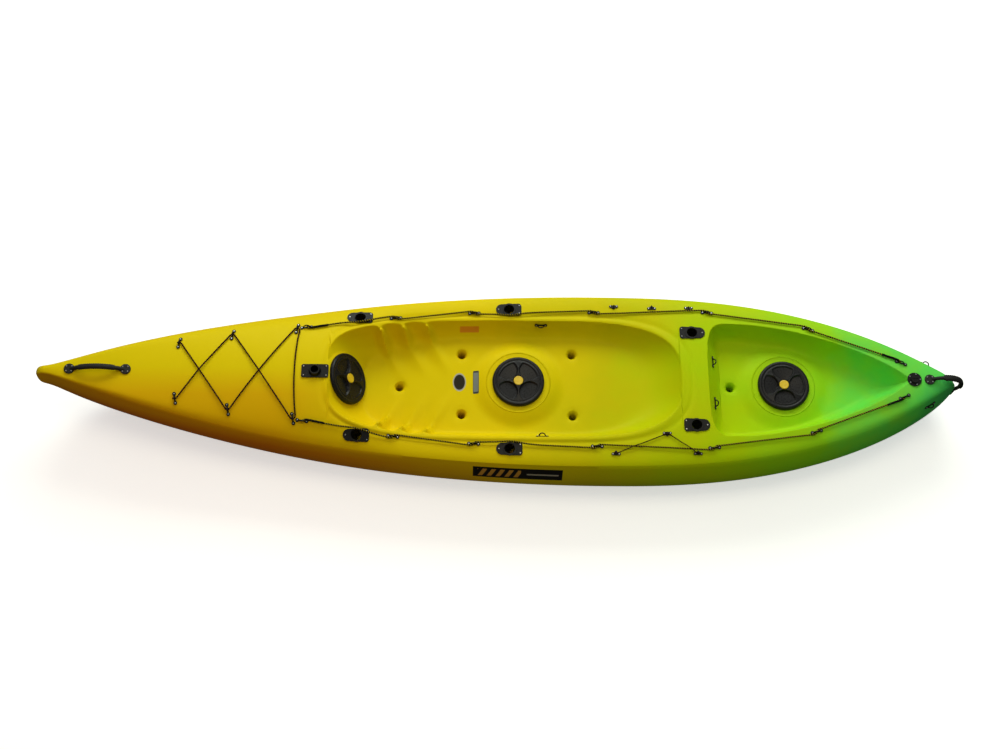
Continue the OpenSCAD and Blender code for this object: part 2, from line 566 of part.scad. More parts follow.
// ---- hull ----
module runners() {
    for (y = [-165, 0, 165]) translate([0, y, 0]) rotate([0, 90, 0])
        translate([0, 0, -650]) linear_extrude(1300) polygon([[0, -12], [0, 12], [-16, 20], [-16, -20]]);
}
cockpit_scuppers = [[-184, 136], [-184, -136], [286, 139], [286, -139]];
foot_drain = [-449, 0];
tank_scupper = [965, 0];
scuppers = concat([for (p = cockpit_scuppers) [p[0], p[1], cockpit_floor_z(p[0])]],
    [[foot_drain[0], 0, cockpit_floor_z(foot_drain[0])], [tank_scupper[0], 0,
        tank_floor_z(tank_scupper[0])]]);
module scupper_post(p) translate([p[0], p[1], -over]) {
    cylinder(r = scupper_radius + skin + 1, h = p[2], $fn = 12);
    cylinder(r1 = scupper_mouth + skin, r2 = scupper_radius + skin, h = 26, $fn = 12);
    translate([0, 0, p[2] - 26]) cylinder(r1 = scupper_radius + skin, r2 = scupper_mouth + skin + 1,
        h = 26, $fn = 12);
}
module scupper_funnel(p) {
    translate([p[0], p[1], p[2] - 16])
        cylinder(r1 = scupper_radius + 1, r2 = scupper_mouth, h = 16.5, $fn = 16);
    translate([p[0], p[1], p[2]]) cylinder(r = scupper_mouth, h = 10, $fn = 16);
    translate([p[0], p[1], -over]) cylinder(r1 = scupper_mouth, r2 = scupper_radius + 1, h = 16, $fn = 16);
}
module moulded_bosses() {
    for (h = [centre_hatch, rear_hatch]) at_hatch(h, -h[3] - skin)
        cylinder(r1 = boss_radius + 14, r2 = boss_radius, h = h[3] + skin, $fn = 40);
    at_hatch(front_hatch, -skin - 8) cylinder(r = front_boss_radius, h = skin + 8, $fn = 40);
    on_deck(drain_x, 0, 0, -10) cylinder(r = drain_radius + 4, h = 10.6, $fn = 20);
}
module cavity() {
    difference() {
        inner_hull();
        cockpit_well(skin);
        tank_well(skin);
        for (p = scuppers) scupper_post(p);
        moulded_bosses();
    }
    // the raised seats are hollow under a thicker top
    for (h = [centre_hatch, rear_hatch]) at_hatch(h, -h[3] - skin - over)
        cylinder(r = boss_radius - 6, h = h[3] + skin + over - seat_top, $fn = 24);
}
module cut_outs() {
    for (h = hatches) at_hatch(h, -60) cylinder(r = neck_radius + 0.8, h = 120, $fn = 36);
    for (s = rod_spots) both_sides() rod_axis(s) translate([0, 0, -60])
        cylinder(r = rod_tube + 1, h = 120, $fn = 14);
    on_deck(socket_x, 0, 0, -60) cylinder(r = socket_bore + socket_wall + 1, h = 120, $fn = 16);
    on_deck(drain_x, 0, 0, -30) cylinder(r = drain_bore + 3.8, h = 60, $fn = 16);
    for (p = scuppers) scupper_funnel(p);
}
module moulded_shell() difference() {
    union() {
        difference() {
            outer_hull();
            cockpit_well(0);
            tank_well(0);
        }
        moulded_bosses();
        runners();
    }
    cavity();
    cut_outs();
}

// stand children on the starboard side of the hull, their Z outwards
side_eye_x = 1800;
side_eye_level = 0.8;
function side_spot(x, t) = let (p = side_point(x, t, 0)) [x, p[0], p[1]];
module on_side(x, t, lift) {
    along = unit(side_spot(x + 10, t) - side_spot(x - 10, t));
    rise = unit(side_spot(x, t + 0.1) - side_spot(x, t - 0.1));
    out = unit(cross(rise, along));
    up = cross(out, along);
    spot = side_spot(x, t) + out * lift;
    multmatrix([[along[0], up[0], out[0], spot[0]],
                [along[1], up[1], out[1], spot[1]],
                [along[2], up[2], out[2], spot[2]],
                [0, 0, 0, 1]])
        children();
}
module at_side_eyes() both_sides() on_side(side_eye_x, side_eye_level, gap + 0.4) children();
module hull_shell() color([0.62, 0.72, 0.05]) difference() {
    // one moulding, held to its stated length
    resize([half_length + stern_end - 2 * hull_tip, 0, 0]) moulded_shell();
    for (p = scuppers) translate([p[0], p[1], -over])
        cylinder(r = scupper_radius, h = p[2] + 2 * over, $fn = 48);
    // flat on the stem for the lower pad of the stern handle
    translate([stern_end - stem_flat, -40, stem_cut[0]]) cube([40, 80, stem_cut[1] - stem_cut[0]]);
}
module centre_hatch_collar() color(black) at_hatch(centre_hatch) hatch_collar();
module front_hatch_collar() color(black) at_hatch(front_hatch) hatch_collar();
module rear_hatch_collar() color(black) at_hatch(rear_hatch) hatch_collar();
module hatch_collar_screws() color(steel) for (h = hatches) at_hatch(h) hatch_collar_screws_one();
module centre_hatch_seal() color(black) at_hatch(centre_hatch) hatch_seal();
module front_hatch_seal() color(black) at_hatch(front_hatch) hatch_seal();
module rear_hatch_seal() color(black) at_hatch(rear_hatch) hatch_seal();
module centre_hatch_lid() color(black) at_hatch(centre_hatch) hatch_lid(0);
module front_hatch_lid() color(black) at_hatch(front_hatch) hatch_lid(0);
module rear_hatch_lid() color(black) at_hatch(rear_hatch) hatch_lid(45);
module centre_hatch_button() color(yellow) at_hatch(centre_hatch) hatch_button();
module front_hatch_button() color(yellow) at_hatch(front_hatch) hatch_button();
module rear_hatch_button() color(yellow) at_hatch(rear_hatch) hatch_button();
module rod_holder_bow_starboard() color(black) rod_holder(rod_spots[0]);
module rod_holder_bow_port() color(black) mirror([0, 1, 0]) rod_holder(rod_spots[0]);
module rod_holder_mid_starboard() color(black) rod_holder(rod_spots[1]);
module rod_holder_mid_port() color(black) mirror([0, 1, 0]) rod_holder(rod_spots[1]);
module rod_holder_aft_starboard() color(black) rod_holder(rod_spots[2]);
module rod_holder_aft_port() color(black) mirror([0, 1, 0]) rod_holder(rod_spots[2]);
module rod_holder_screws() color(steel) both_sides() for (s = rod_spots) rod_holder_screws_at(s);
module accessory_socket() color(black) on_deck(socket_x, 0) socket();
module accessory_socket_screws() color(steel) on_deck(socket_x, 0) for (p = socket_screws)
    translate([p[0], p[1], socket_plate[2]]) screw();
module bow_handle() color(black) {
    difference() {
        translate([bow_handle_mid, 0, bow_handle_z + bow_handle_rise - bow_arc_radius])
            grip_arc(bow_arc_radius, bow_grip_radius, 90 - bow_arc_half, 90 + bow_arc_half);
        // flat under the pads, and clear of the screw heads
        translate([bow_handle_mid - 200, -50, bow_handle_z - 50]) cube([400, 100, 50 + pad_thick / 2]);
        at_bow_pads() pad_screw_spots() translate([0, 0, -over])
            cylinder(r = screw_head + 0.5, h = 30, $fn = 32);
    }
    at_bow_pads() handle_pad();
}
module bow_handle_screws() color(steel) at_bow_pads() handle_screws();
module at_stern_pad() translate([stern_pad_x, 0, stern_pad_z]) children();
module at_stem_pad() translate([stern_end - stem_flat + 0.2, 0, stem_pad_z]) rotate([90, 0, 90]) children();
module stern_handle() color(black) {
    difference() {
        translate([stern_arc_centre[0], 0, stern_arc_centre[1]])
            grip_arc(stern_arc_radius, stern_grip_radius, stern_arc_angles[0], stern_arc_angles[1]);
        translate([stern_pad_x - 100, -50, stern_pad_z - 60]) cube([150, 100, 60 + pad_thick / 2]);
        translate([stern_end - 60, -50, stem_pad_z - 60]) cube([60 - stem_flat + pad_thick / 2, 100, 100]);
        at_stern_pad() pad_screw_spots() translate([0, 0, -over])
            cylinder(r = screw_head + 0.5, h = 30, $fn = 32);
    }
    at_stern_pad() handle_pad();
    at_stem_pad() stem_pad();
}
module stern_handle_screws() color(steel) {
    at_stern_pad() handle_screws();
    at_stem_pad() stem_screw_spots() translate([0, 0, pad_thick]) screw();
}
module at_drain() on_deck(drain_x, 0, 0, 0.8) children();
module deck_line_starboard() color(black) deck_line();
module deck_line_port() color(black) mirror([0, 1, 0]) deck_line();
module paddle_keeper_eyes() color(black) for (e = keeper_spots) at_keeper(e) keeper_eye();
module seat_strap_eyes() color(black) both_sides() at_seat_eye() pad_eye();
module tankwell_eyes() color(black) both_sides() at_tank_eye() pad_eye();
module stern_side_eyes() color(black) at_side_eyes() pad_eye();
module deck_eye_screws() color(steel) {
    both_sides() for (i = [0 : last_eye]) at_line_eye(i) pad_eye_screws();
    both_sides() for (e = shock_eyes) on_deck(e[0], e[1], e[2], eye_lift) pad_eye_screws();
    for (e = keeper_spots) at_keeper(e) keeper_eye_screws();
    both_sides() at_seat_eye() pad_eye_screws();
    both_sides() at_tank_eye() pad_eye_screws();
    at_side_eyes() pad_eye_screws();
}
module drain_flange() color(black) at_drain() drain_flange_solid();
module drain_flange_screws() color(steel) at_drain() drain_flange_screws_solid();
module drain_seal() color(black) at_drain() drain_seal_solid();
module drain_bung() color(black) at_drain() drain_bung_solid();

hull_shell();
centre_hatch_collar();
centre_hatch_seal();
centre_hatch_lid();
centre_hatch_button();
front_hatch_collar();
front_hatch_seal();
front_hatch_lid();
front_hatch_button();
rear_hatch_collar();
rear_hatch_seal();
rear_hatch_lid();
rear_hatch_button();
hatch_collar_screws();
rod_holder_bow_port();
rod_holder_bow_starboard();
rod_holder_mid_port();
rod_holder_mid_starboard();
rod_holder_aft_port();
rod_holder_aft_starboard();
rod_holder_screws();
accessory_socket();
accessory_socket_screws();
bow_handle();
bow_handle_screws();
stern_handle();
stern_handle_screws();
drain_flange();
drain_bung();
drain_seal();
drain_flange_screws();
deck_line_eyes();
shock_cord_eyes();
paddle_keeper_eyes();
seat_strap_eyes();
tankwell_eyes();
stern_side_eyes();
deck_eye_screws();
deck_line_port();
deck_line_starboard();
bow_shock_cord();
paddle_keeper_cord();
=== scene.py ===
import json
import math

import bmesh
import bpy
import numpy as np
from mathutils import Matrix, Vector


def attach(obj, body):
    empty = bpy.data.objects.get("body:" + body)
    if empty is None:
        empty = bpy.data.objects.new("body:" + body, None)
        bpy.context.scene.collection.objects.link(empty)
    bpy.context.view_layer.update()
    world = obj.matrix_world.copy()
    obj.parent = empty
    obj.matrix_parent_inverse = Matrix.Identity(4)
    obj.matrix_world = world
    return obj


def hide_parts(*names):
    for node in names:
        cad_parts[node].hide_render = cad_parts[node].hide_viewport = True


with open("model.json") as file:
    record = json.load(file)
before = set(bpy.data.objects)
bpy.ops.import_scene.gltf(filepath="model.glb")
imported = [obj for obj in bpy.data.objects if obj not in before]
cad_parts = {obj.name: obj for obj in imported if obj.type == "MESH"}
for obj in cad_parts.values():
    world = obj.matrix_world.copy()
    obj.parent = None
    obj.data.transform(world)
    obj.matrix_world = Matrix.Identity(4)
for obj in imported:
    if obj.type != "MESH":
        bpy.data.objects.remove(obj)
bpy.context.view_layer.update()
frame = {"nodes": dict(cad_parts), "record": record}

MM = 0.001
nodes = frame["nodes"]

# ---------------------------------------------------------------- camera
CAMERA_PLACE = Vector((-0.18526, -2.1023, 5.7857))
CAMERA_TILT = 21.0
CAMERA_PAN = -1.5769
CAMERA_ROLL = -0.4923
CAMERA_LENS = 50.62


def make_camera():
    """A camera nearly overhead, leaning back over the port side."""
    tilt = math.radians(CAMERA_TILT)
    forward = Vector((0, math.sin(tilt), -math.cos(tilt)))
    up = Vector((0, math.cos(tilt), math.sin(tilt)))
    pan = Matrix.Rotation(math.radians(CAMERA_PAN), 3, up)
    forward, right = pan @ forward, pan @ Vector((1, 0, 0))
    roll = Matrix.Rotation(math.radians(CAMERA_ROLL), 3, forward)
    right, up = roll @ right, roll @ up
    data = bpy.data.cameras.new("camera")
    data.lens = CAMERA_LENS
    camera = bpy.data.objects.new("camera", data)
    bpy.context.scene.collection.objects.link(camera)
    turn = Matrix((right, up, -forward)).transposed().to_4x4()
    camera.matrix_world = Matrix.Translation(CAMERA_PLACE) @ turn
    bpy.context.scene.camera = camera


# ---------------------------------------------------------------- hull lines, in mm
# They are the CAD's lines. The blunt nose, the scallops, the coaming's bead and groove, the hatch rings and
# the soft skirts are the moulding's finish and are only here.
HALF_LENGTH = 1950.0
STERN_END = 1930.0
HALF_BEAM = 418.0
BEAM_X = 460.0
GUNWALE = 277.0
BOW_RISE = 60.0
STERN_RISE = 20.0
WIDEST_HEIGHT, WIDEST_RISE, SWEEP_START = 126.0, 118.0, -300.0
BOW_TUMBLEHOME, STERN_TUMBLEHOME = 30.0, 50.0
BOW_PLAN = (2.07, 0.883)
STERN_PLAN = (2.461, 0.826)
BOW_ROUND, STERN_ROUND = 50.0, 90.0
BOW_TIP_Z, STERN_TIP_Z = 275.0, 164.0
BOW_NOSE, BOW_NOSE_FADE = 27.0, 210.0
ROCKER_START = 620.0
BOW_ROCKER, STERN_ROCKER = (26.0, 236.0), (22.0, 62.0)
CREST_DROP, CREST_RISE = 3.0, 57.0
COCKPIT_CROWN = 8.0
DECK_EDGE = 14.0
HULL_TIP = 0.4
BILGE_POWERS = (3.1, 1.75)
FLARE_POWER = 1.7


def smooth(t):
    u = np.clip(t, 0.0, 1.0)
    return u * u * (3 - 2 * u)


def mix(a, b, t):
    return a + (b - a) * t


def widest(x):
    """Half width of the hull at its widest, with the blunt nose let into the bow."""
    fore = x < BEAM_X
    u = np.abs((x - BEAM_X) / (np.where(fore, -HALF_LENGTH, STERN_END) - BEAM_X))
    power = np.where(fore, BOW_PLAN[0], STERN_PLAN[0])
    law = np.where(fore, BOW_PLAN[1], STERN_PLAN[1])
    plan = HALF_BEAM * np.maximum(0.0, 1 - u**power) ** law
    back = x + HALF_LENGTH
    nose = BOW_NOSE * np.sqrt(np.maximum(0.0, 1 - (1 - np.clip(back / BOW_NOSE, 0, 1)) ** 2))
    nose = nose * (1 - smooth((back - BOW_NOSE) / BOW_NOSE_FADE))
    return (plan**4 + nose**4) ** 0.25


def deck_half(x):
    b = widest(x)
    return b - mix(BOW_TUMBLEHOME, STERN_TUMBLEHOME, smooth((x + 1500) / 3200)) * b / (b + 60)


def widest_z(x):
    sweep = np.maximum(0.0, SWEEP_START - x) / (HALF_LENGTH + SWEEP_START)
    return WIDEST_HEIGHT + WIDEST_RISE * sweep**1.5


def rounded_z(x, z):
    """Heights drawn in towards the stem over the last few centimetres."""
    bow = x < 0
    e = np.where(bow, (x + HALF_LENGTH) / BOW_ROUND, (STERN_END - x) / STERN_ROUND)
    share = np.sqrt(np.maximum(0.0, 1 - (1 - np.clip(e, 0, 1)) ** 2))
    return mix(np.where(bow, BOW_TIP_Z, STERN_TIP_Z), z, share)


def keel_z(x):
    u = np.maximum(0.0, (np.abs(x) - ROCKER_START) / (HALF_LENGTH - ROCKER_START))
    fore = BOW_ROCKER[0] * u**2 + BOW_ROCKER[1] * u**9
    return np.where(x < 0, fore, STERN_ROCKER[0] * u**2 + STERN_ROCKER[1] * u**10)


def crest_z(x):
    return GUNWALE - CREST_DROP + CREST_RISE * smooth((-x - 700) / 1050)


def crown(x):
    bow = mix(COCKPIT_CROWN, BOW_RISE + GUNWALE - crest_z(x), smooth((-x - 360) / 380))
    return mix(bow, STERN_RISE + 2, smooth((x - 480) / 260))


def deck_z(x, y):
    s = np.minimum(1.0, np.abs(y) / np.maximum(1.0, deck_half(x)))
    return rounded_z(x, crest_z(x) + crown(x) * (1 - s * s) - DECK_EDGE * s**14)


# wells: middle station, reach forward and aft, half width, powers of the outline (along, across) forward
# and aft, and how far the foot of the wall is set in forward, aft and aside
FOOTWELL_DEPTH, SEAT_DEPTH, TANK_DEPTH = 124.0, 78.0, 94.0
BULKHEAD_LEAN = 54.0
COCKPIT = dict(mid=200.0, reach=(935.0, 535.0), half=258.0, powers=((4, 4), (2.9, 1 / 0.345)),
               inset=(FOOTWELL_DEPTH * 1.45 / math.tan(math.radians(BULKHEAD_LEAN)), 190.0, 50.0))
TANK = dict(mid=960.0, reach=(103.0, 742.0), half=250.0, powers=((4, 4), (1.8, 1 / 0.82)),
            inset=(62.0, 150.0, 46.0))
RIM_FALL = 8.0
RIM_STEEPNESS = 420.0
RIM_SOFTNESS = 14.0
WALL_POWER = 2.3


def cockpit_floor(x):
    """The footwell's floor, rising to the seat."""
    return GUNWALE - mix(FOOTWELL_DEPTH, SEAT_DEPTH, smooth((x + 560) / 380))


def tank_floor(x):
    return GUNWALE - TANK_DEPTH + 0 * x


def outline_sum(well, x, y, t):
    """1 on the outline at share t of the wall's inset, less inside, and the place as shares of its reach."""
    fore = x < well["mid"]
    reach = np.where(fore, well["reach"][0] - well["inset"][0] * t, well["reach"][1] - well["inset"][1] * t)
    across = well["half"] - well["inset"][2] * t
    along = np.abs(x - well["mid"]) / np.maximum(reach, 1.0)
    aside = np.abs(y) / np.maximum(across, 1.0)
    (fa, fy), (ra, ry) = well["powers"]
    return along ** np.where(fore, fa, ra) + aside ** np.where(fore, fy, ry), along, aside


def wall_share(well, x, y):
    """How far down the wall a point is: 0 at the rim, 1 at the foot, found by halving."""
    low, high = np.full(x.shape, -1.5), np.full(x.shape, 1.6)
    for _ in range(26):
        middle = (low + high) / 2
        inside = outline_sum(well, x, y, middle)[0] < 1
        low, high = np.where(inside, middle, low), np.where(inside, high, middle)
    return (low + high) / 2


def soft_min(a, b, k):
    h = np.clip(0.5 + 0.5 * (b - a) / k, 0, 1)
    return mix(b, a, h) - k * h * (1 - h)


# foot braces: scallops down the sides of the footwell, leaning aft towards the floor
# the ridges' share of the wall's inset at the rim and lower down, and their height on the floor
BRACE_FIRST, BRACE_PITCH, BRACE_LEAN = -548.0, 104.0, 0.5
BRACE_SPAN = (-610.0, -275.0)
BRACE_RIM, BRACE_WALL, BRACE_FLOOR = 0.15, 0.62, 14.0


def foot_braces(x, y, t):
    """How far the ridges between the scallops bulge: a share of the wall's inset and a rise of the floor."""
    inward = np.maximum(0.0, 250 - np.abs(y))
    phase = math.pi * (x - BRACE_FIRST - BRACE_LEAN * inward) / BRACE_PITCH
    ridge = 1 - np.sqrt(np.sin(phase) ** 2 + 0.05)
    span = smooth((x - BRACE_SPAN[0] - 0.5 * inward) / 60) * smooth((BRACE_SPAN[1] + 0.6 * inward - x) / 70)
    floor = smooth((t - 0.5) / 0.8) * smooth((np.abs(y) - 10) / 150)
    return ridge * span * mix(BRACE_RIM, BRACE_WALL, smooth(t / 0.5)), ridge * span * floor * BRACE_FLOOR


def well_z(well, floor, x, y, t, braces=False):
    """Height of a well's surface, far above the deck outside it, at the share t that wall_share gives."""
    _, along, aside = outline_sum(well, x, y, t)
    fore = x < well["mid"]
    rim_x = well["mid"] + np.where(fore, -well["reach"][0], well["reach"][1]) * along
    rim_y = well["half"] * aside
    top = deck_z(rim_x, rim_y) - RIM_FALL
    bulge, swell = foot_braces(x, y, t) if braces else (0.0, 0.0)
    t = t - bulge
    ahead = np.where(fore, along ** (well["powers"][0][0] / 2), 0.0) ** 6
    u = np.clip(t, 0, 1)
    fall = mix(1 - (1 - u) ** WALL_POWER, u, np.clip(ahead, 0, 1))
    z = mix(top, floor(x), fall) + np.where(t < 0, -t * RIM_STEEPNESS, 0.0)
    return z + swell


def hump(distance, width):
    """1 at no distance, falling away softly over the width."""
    return np.exp(-((distance / width) ** 2))


RIM_BEAD, RIM_GROOVE, RIM_DETAIL = 2.0, 3.2, 8.0
BEAD_OFF, GROOVE_OFF, GROOVE_OFF_AFT = 11.0, 27.0, 50.0


def coaming(x, y, t):
    """A low bead along the cockpit's rim with a groove outside it, further out round the seat back."""
    _, along, aside = outline_sum(COCKPIT, x, y, t)
    end = np.clip(along**6, 0, 1)
    inset = np.where(x < COCKPIT["mid"], COCKPIT["inset"][0], COCKPIT["inset"][1])
    away = -t * mix(COCKPIT["inset"][2], inset, end)
    at = np.where(x < COCKPIT["mid"], GROOVE_OFF, mix(GROOVE_OFF, GROOVE_OFF_AFT, end))
    near = np.where((t < 0) & (t > -1.4), 1.0, 0.0)
    return near * (RIM_BEAD * hump(away - BEAD_OFF, RIM_DETAIL) - RIM_GROOVE * hump(away - at, RIM_DETAIL))


# hatch seats: x, height, lean in degrees; then the radius of a flat one's boss, its skirt and its ring
CENTRE_HATCH = (56.0, 225.0, 0.0)
REAR_HATCH = (1188.0, 203.0, 0.0)
FRONT_HATCH = (-667.0, 244.5, BULKHEAD_LEAN)
BOSS_RADIUS, BOSS_SKIRT, BOSS_RING = 126.0, 78.0, 1.5
FRONT_BOSS_RADIUS = 112.0


def flat_boss(z, x, y, hatch):
    """Swells the floor softly up to a hatch's round seat, with a low ring round it."""
    r = np.hypot(x - hatch[0], y)
    rise = 1 - smooth((r - BOSS_RADIUS) / BOSS_SKIRT)
    floor = np.where(z < hatch[1] + 8, 1.0, 0.0)
    ring = BOSS_RING * (hump(r - BOSS_RADIUS - 6, 4) - hump(r - BOSS_RADIUS + 3, 4))
    return z + np.maximum(0.0, hatch[1] - z) * rise + ring * floor


def leaning_boss(z, x, y):
    """The front hatch's seat, square to the bulkhead."""
    lean = math.radians(FRONT_HATCH[2])
    u = (x - FRONT_HATCH[0]) / math.cos(lean)
    r = np.hypot(u, y)
    plane = FRONT_HATCH[1] - (x - FRONT_HATCH[0]) * math.tan(lean)
    rise = smooth((FRONT_BOSS_RADIUS + 12 - r) / 16)
    return mix(z, plane, rise)


# drain holes: x, y; then their bore, mouth and the depth of the dimple round each
SCUPPERS = ((-184, 136), (-184, -136), (286, 139), (286, -139), (-449, 0), (965, 0))
SCUPPER_BORE, SCUPPER_MOUTH, SCUPPER_DIMPLE = 16.0, 25.0, 3.0


def scupper_floor(x):
    return float(cockpit_floor(np.float64(x))) if x < 700 else float(tank_floor(0.0))


def scupper_dimple(x, y):
    fall = 0.0 * x
    for sx, sy in SCUPPERS:
        r = np.hypot(x - sx, y - sy)
        fall = fall + SCUPPER_DIMPLE * smooth((SCUPPER_MOUTH + 16 - r) / 18)
    return fall


def top_z(x, y):
    """The whole upper surface of the moulding, wells, seats and all."""
    cockpit_t, tank_t = wall_share(COCKPIT, x, y), wall_share(TANK, x, y)
    deck = deck_z(x, y) + coaming(x, y, cockpit_t)
    z = soft_min(deck, well_z(COCKPIT, cockpit_floor, x, y, cockpit_t, braces=True), RIM_SOFTNESS)
    z = soft_min(z, well_z(TANK, tank_floor, x, y, tank_t), RIM_SOFTNESS)
    z = flat_boss(z, x, y, CENTRE_HATCH)
    z = flat_boss(z, x, y, REAR_HATCH)
    z = leaning_boss(z, x, y)
    return z - scupper_dimple(x, y)


# ---------------------------------------------------------------- meshes
def link(name, mesh):
    piece = bpy.data.objects.new(name, mesh)
    bpy.context.scene.collection.objects.link(piece)
    return piece


def mesh_from(name, points, faces):
    """points in mm"""
    mesh = bpy.data.meshes.new(name)
    mesh.from_pydata((np.asarray(points, float) * MM).tolist(), [], faces)
    mesh.validate()
    return mesh


def ring_grid(rings, closed_ends=True):
    """Points and faces of a closed skin through rings of the same number of points."""
    rings = np.asarray(rings)
    m, n = rings.shape[:2]
    k, i = np.meshgrid(np.arange(m - 1), np.arange(n), indexing="ij")
    j = (i + 1) % n
    faces = np.stack([k * n + i, k * n + j, (k + 1) * n + j, (k + 1) * n + i], -1).reshape(-1, 4).tolist()
    if closed_ends:
        faces.append(list(range(n - 1, -1, -1)))
        faces.append(list(range((m - 1) * n, m * n)))
    return rings.reshape(-1, 3), faces


def crowded(low, high, count, crowds):
    """count places from low to high, closer together round each (centre, width, weight)."""
    fine = np.linspace(low, high, 3000)
    density = 1 + sum(w * np.exp(-(((fine - c) / s) ** 2)) for c, s, w in crowds)
    total = np.concatenate([[0], np.cumsum((density[1:] + density[:-1]) / 2)])
    return np.interp(np.linspace(0, total[-1], count), total, fine)


def rim_half(x):
    """Half width of whichever well is at this station, or a usual value between them."""
    best = 0.0
    for well in (COCKPIT, TANK):
        fore = x < well["mid"]
        reach = well["reach"][0 if fore else 1]
        along = abs(x - well["mid"]) / reach
        if along < 1:
            pa, py = well["powers"][0 if fore else 1]
            best = max(best, well["half"] * (1 - along**pa) ** (1 / py))
    return best


def half_ring(x, steps, w, top):
    """From the keel round the bilge and the side, then over the deck to the middle."""
    bilge, side, deck = steps
    e = mix(2 / BILGE_POWERS[0], 2 / BILGE_POWERS[1], smooth((abs(x) - 500) / 1400))
    b, d, wz, kz, cz = (float(f(np.float64(x))) for f in (widest, deck_half, widest_z, keel_z, crest_z))
    a = np.linspace(0, 90, bilge + 1)[:-1] * math.pi / 180
    y1, z1 = (b - w) * np.sin(a) ** e, wz - (wz - kz - w) * np.cos(a) ** e
    t = np.linspace(0, 1, side + 1)[:-1]
    y2, z2 = mix(b - w, d - w, t**FLARE_POWER), mix(wz, cz - DECK_EDGE - w, t)
    d_in = max(d - w, 0.05)
    rim = rim_half(x)
    crowds = [(0.0, 18.0, 1.0), (min(rim, 0.93 * d_in), 26.0, 2.2)] if rim else []
    y3 = d_in - crowded(0.0, d_in, deck + 1, [(d_in - c, s, k) for c, s, k in crowds] + [(0.0, 22.0, 1.5)])
    z3 = top(np.full(y3.shape, x), np.maximum(0.0, y3) * (d / d_in))
    lower = rounded_z(np.full(len(y1) + len(y2), x), np.concatenate([z1, z2]))
    return np.column_stack([np.full(len(lower) + len(y3), x), np.concatenate([y1, y2, np.maximum(0, y3)]),
                            np.concatenate([lower, z3])])


def full_ring(half):
    """Port half, then the starboard half back to the keel."""
    port = half * (1, -1, 1)
    return np.concatenate([port, half[-2:0:-1]])


def hull_skin(name, stations, steps, w, top):
    """A closed skin set in by w from the hull's lines, under the given upper surface."""
    rings = [full_ring(half_ring(float(x), steps, w, top)) for x in stations]
    return mesh_from(name, *ring_grid(rings))


# rings along each skin, and points round the bilge, up the side and over the deck of half a ring
HULL_STATIONS, HULL_STEPS = 470, (13, 7, 60)
CAVITY_STATIONS, CAVITY_STEPS = 130, (8, 4, 30)
CAVITY_SHORT = (90, 70)
SKIN = 4.0
# where the rings crowd: centre, width, weight
END_CROWDS = [(-HALF_LENGTH, 60, 6), (STERN_END, 70, 6)]
WELL_CROWDS = [(-650, 70, 1.2), (735, 60, 1.6), (860, 40, 2.2), (1690, 60, 1.0), (-440, 130, 0.6)]


def inner_top(x, y):
    """The moulding's upper surface seen from inside: the lowest nearby point, less the skin."""
    around = [top_z(x + dx, np.abs(y + dy)) for dx, dy in ((0, 0), (7, 0), (-7, 0), (0, 7), (0, -7))]
    return np.min(around, axis=0) - SKIN


def lathe_points(profile, steps):
    """Rings of a closed solid of revolution about Z from (radius, height) pairs, axis ends left out."""
    angles = np.linspace(0, 2 * math.pi, steps, endpoint=False)
    return [np.column_stack([r * np.cos(angles), r * np.sin(angles), np.full(steps, z)]) for r, z in profile]


def placed(points, place=(0, 0, 0), lean_y=0.0):
    """Points leaned about Y, then moved."""
    a = math.radians(lean_y)
    x, y, z = np.asarray(points).reshape(-1, 3).T
    turned = np.column_stack([x * math.cos(a) + z * math.sin(a), y, -x * math.sin(a) + z * math.cos(a)])
    return turned + place


class Solids:
    """Gathers closed skins into one mesh."""

    def __init__(self):
        self.points, self.faces = [], []

    def add(self, rings, place=(0, 0, 0), lean=0.0):
        points, faces = ring_grid(rings)
        start = sum(len(p) for p in self.points)
        self.points.append(placed(points, place, lean))
        self.faces += [[i + start for i in f] for f in faces]

    def mesh(self, name):
        mesh = mesh_from(name, np.concatenate(self.points), self.faces)
        work = bmesh.new()
        work.from_mesh(mesh)
        bmesh.ops.recalc_face_normals(work, faces=work.faces)
        work.to_mesh(mesh)
        work.free()
        return mesh


# rod holders: x, y, lean in degrees
ROD_SPOTS = ((-613, 262, -18), (18, 312, -18), (792, 207, 18))
SOCKET_X, DRAIN_X = -791.0, 1725.0
HATCH_BORE, ROD_BORE, SOCKET_BORE, DRAIN_BORE = 97.8, 25.5, 22, 16.8


def deck_bore(cut, radius, reach, steps, x, y=0, lean=0.0):
    """Adds a round cutter through the deck, reaching this far below and above it."""
    place = (x, y, float(deck_z(x, float(y))))
    cut.add(lathe_points([(radius, -reach[0]), (radius, reach[1])], steps), place, lean)


def hull_cutters():
    """Every hole through the moulding: hatches, rod holders, socket, drain and scuppers."""
    cut = Solids()
    for x, z, lean in (CENTRE_HATCH, REAR_HATCH, FRONT_HATCH):
        cut.add(lathe_points([(HATCH_BORE, -60), (HATCH_BORE, 60)], 96), (x, 0, z), lean)
    for x, y, lean in ROD_SPOTS:
        for side in (-1, 1):
            deck_bore(cut, ROD_BORE, (60, 60), 40, x, side * y, lean)
    deck_bore(cut, SOCKET_BORE, (60, 60), 40, SOCKET_X)
    deck_bore(cut, DRAIN_BORE, (30, 40), 40, DRAIN_X)
    for x, y in SCUPPERS:
        z = scupper_floor(x)
        profile = [(SCUPPER_MOUTH + 4, -5), (SCUPPER_MOUTH, 1), (SCUPPER_BORE + 1.5, 13), (SCUPPER_BORE, 17),
                   (SCUPPER_BORE, z - 18), (SCUPPER_BORE + 1, z - 14), (SCUPPER_MOUTH - 3, z - 5),
                   (SCUPPER_MOUTH, z - 2.4), (SCUPPER_MOUTH + 5, z + 3)]
        cut.add(lathe_points(profile, 48), (x, y, 0))
    return cut.mesh("hull_cutters")


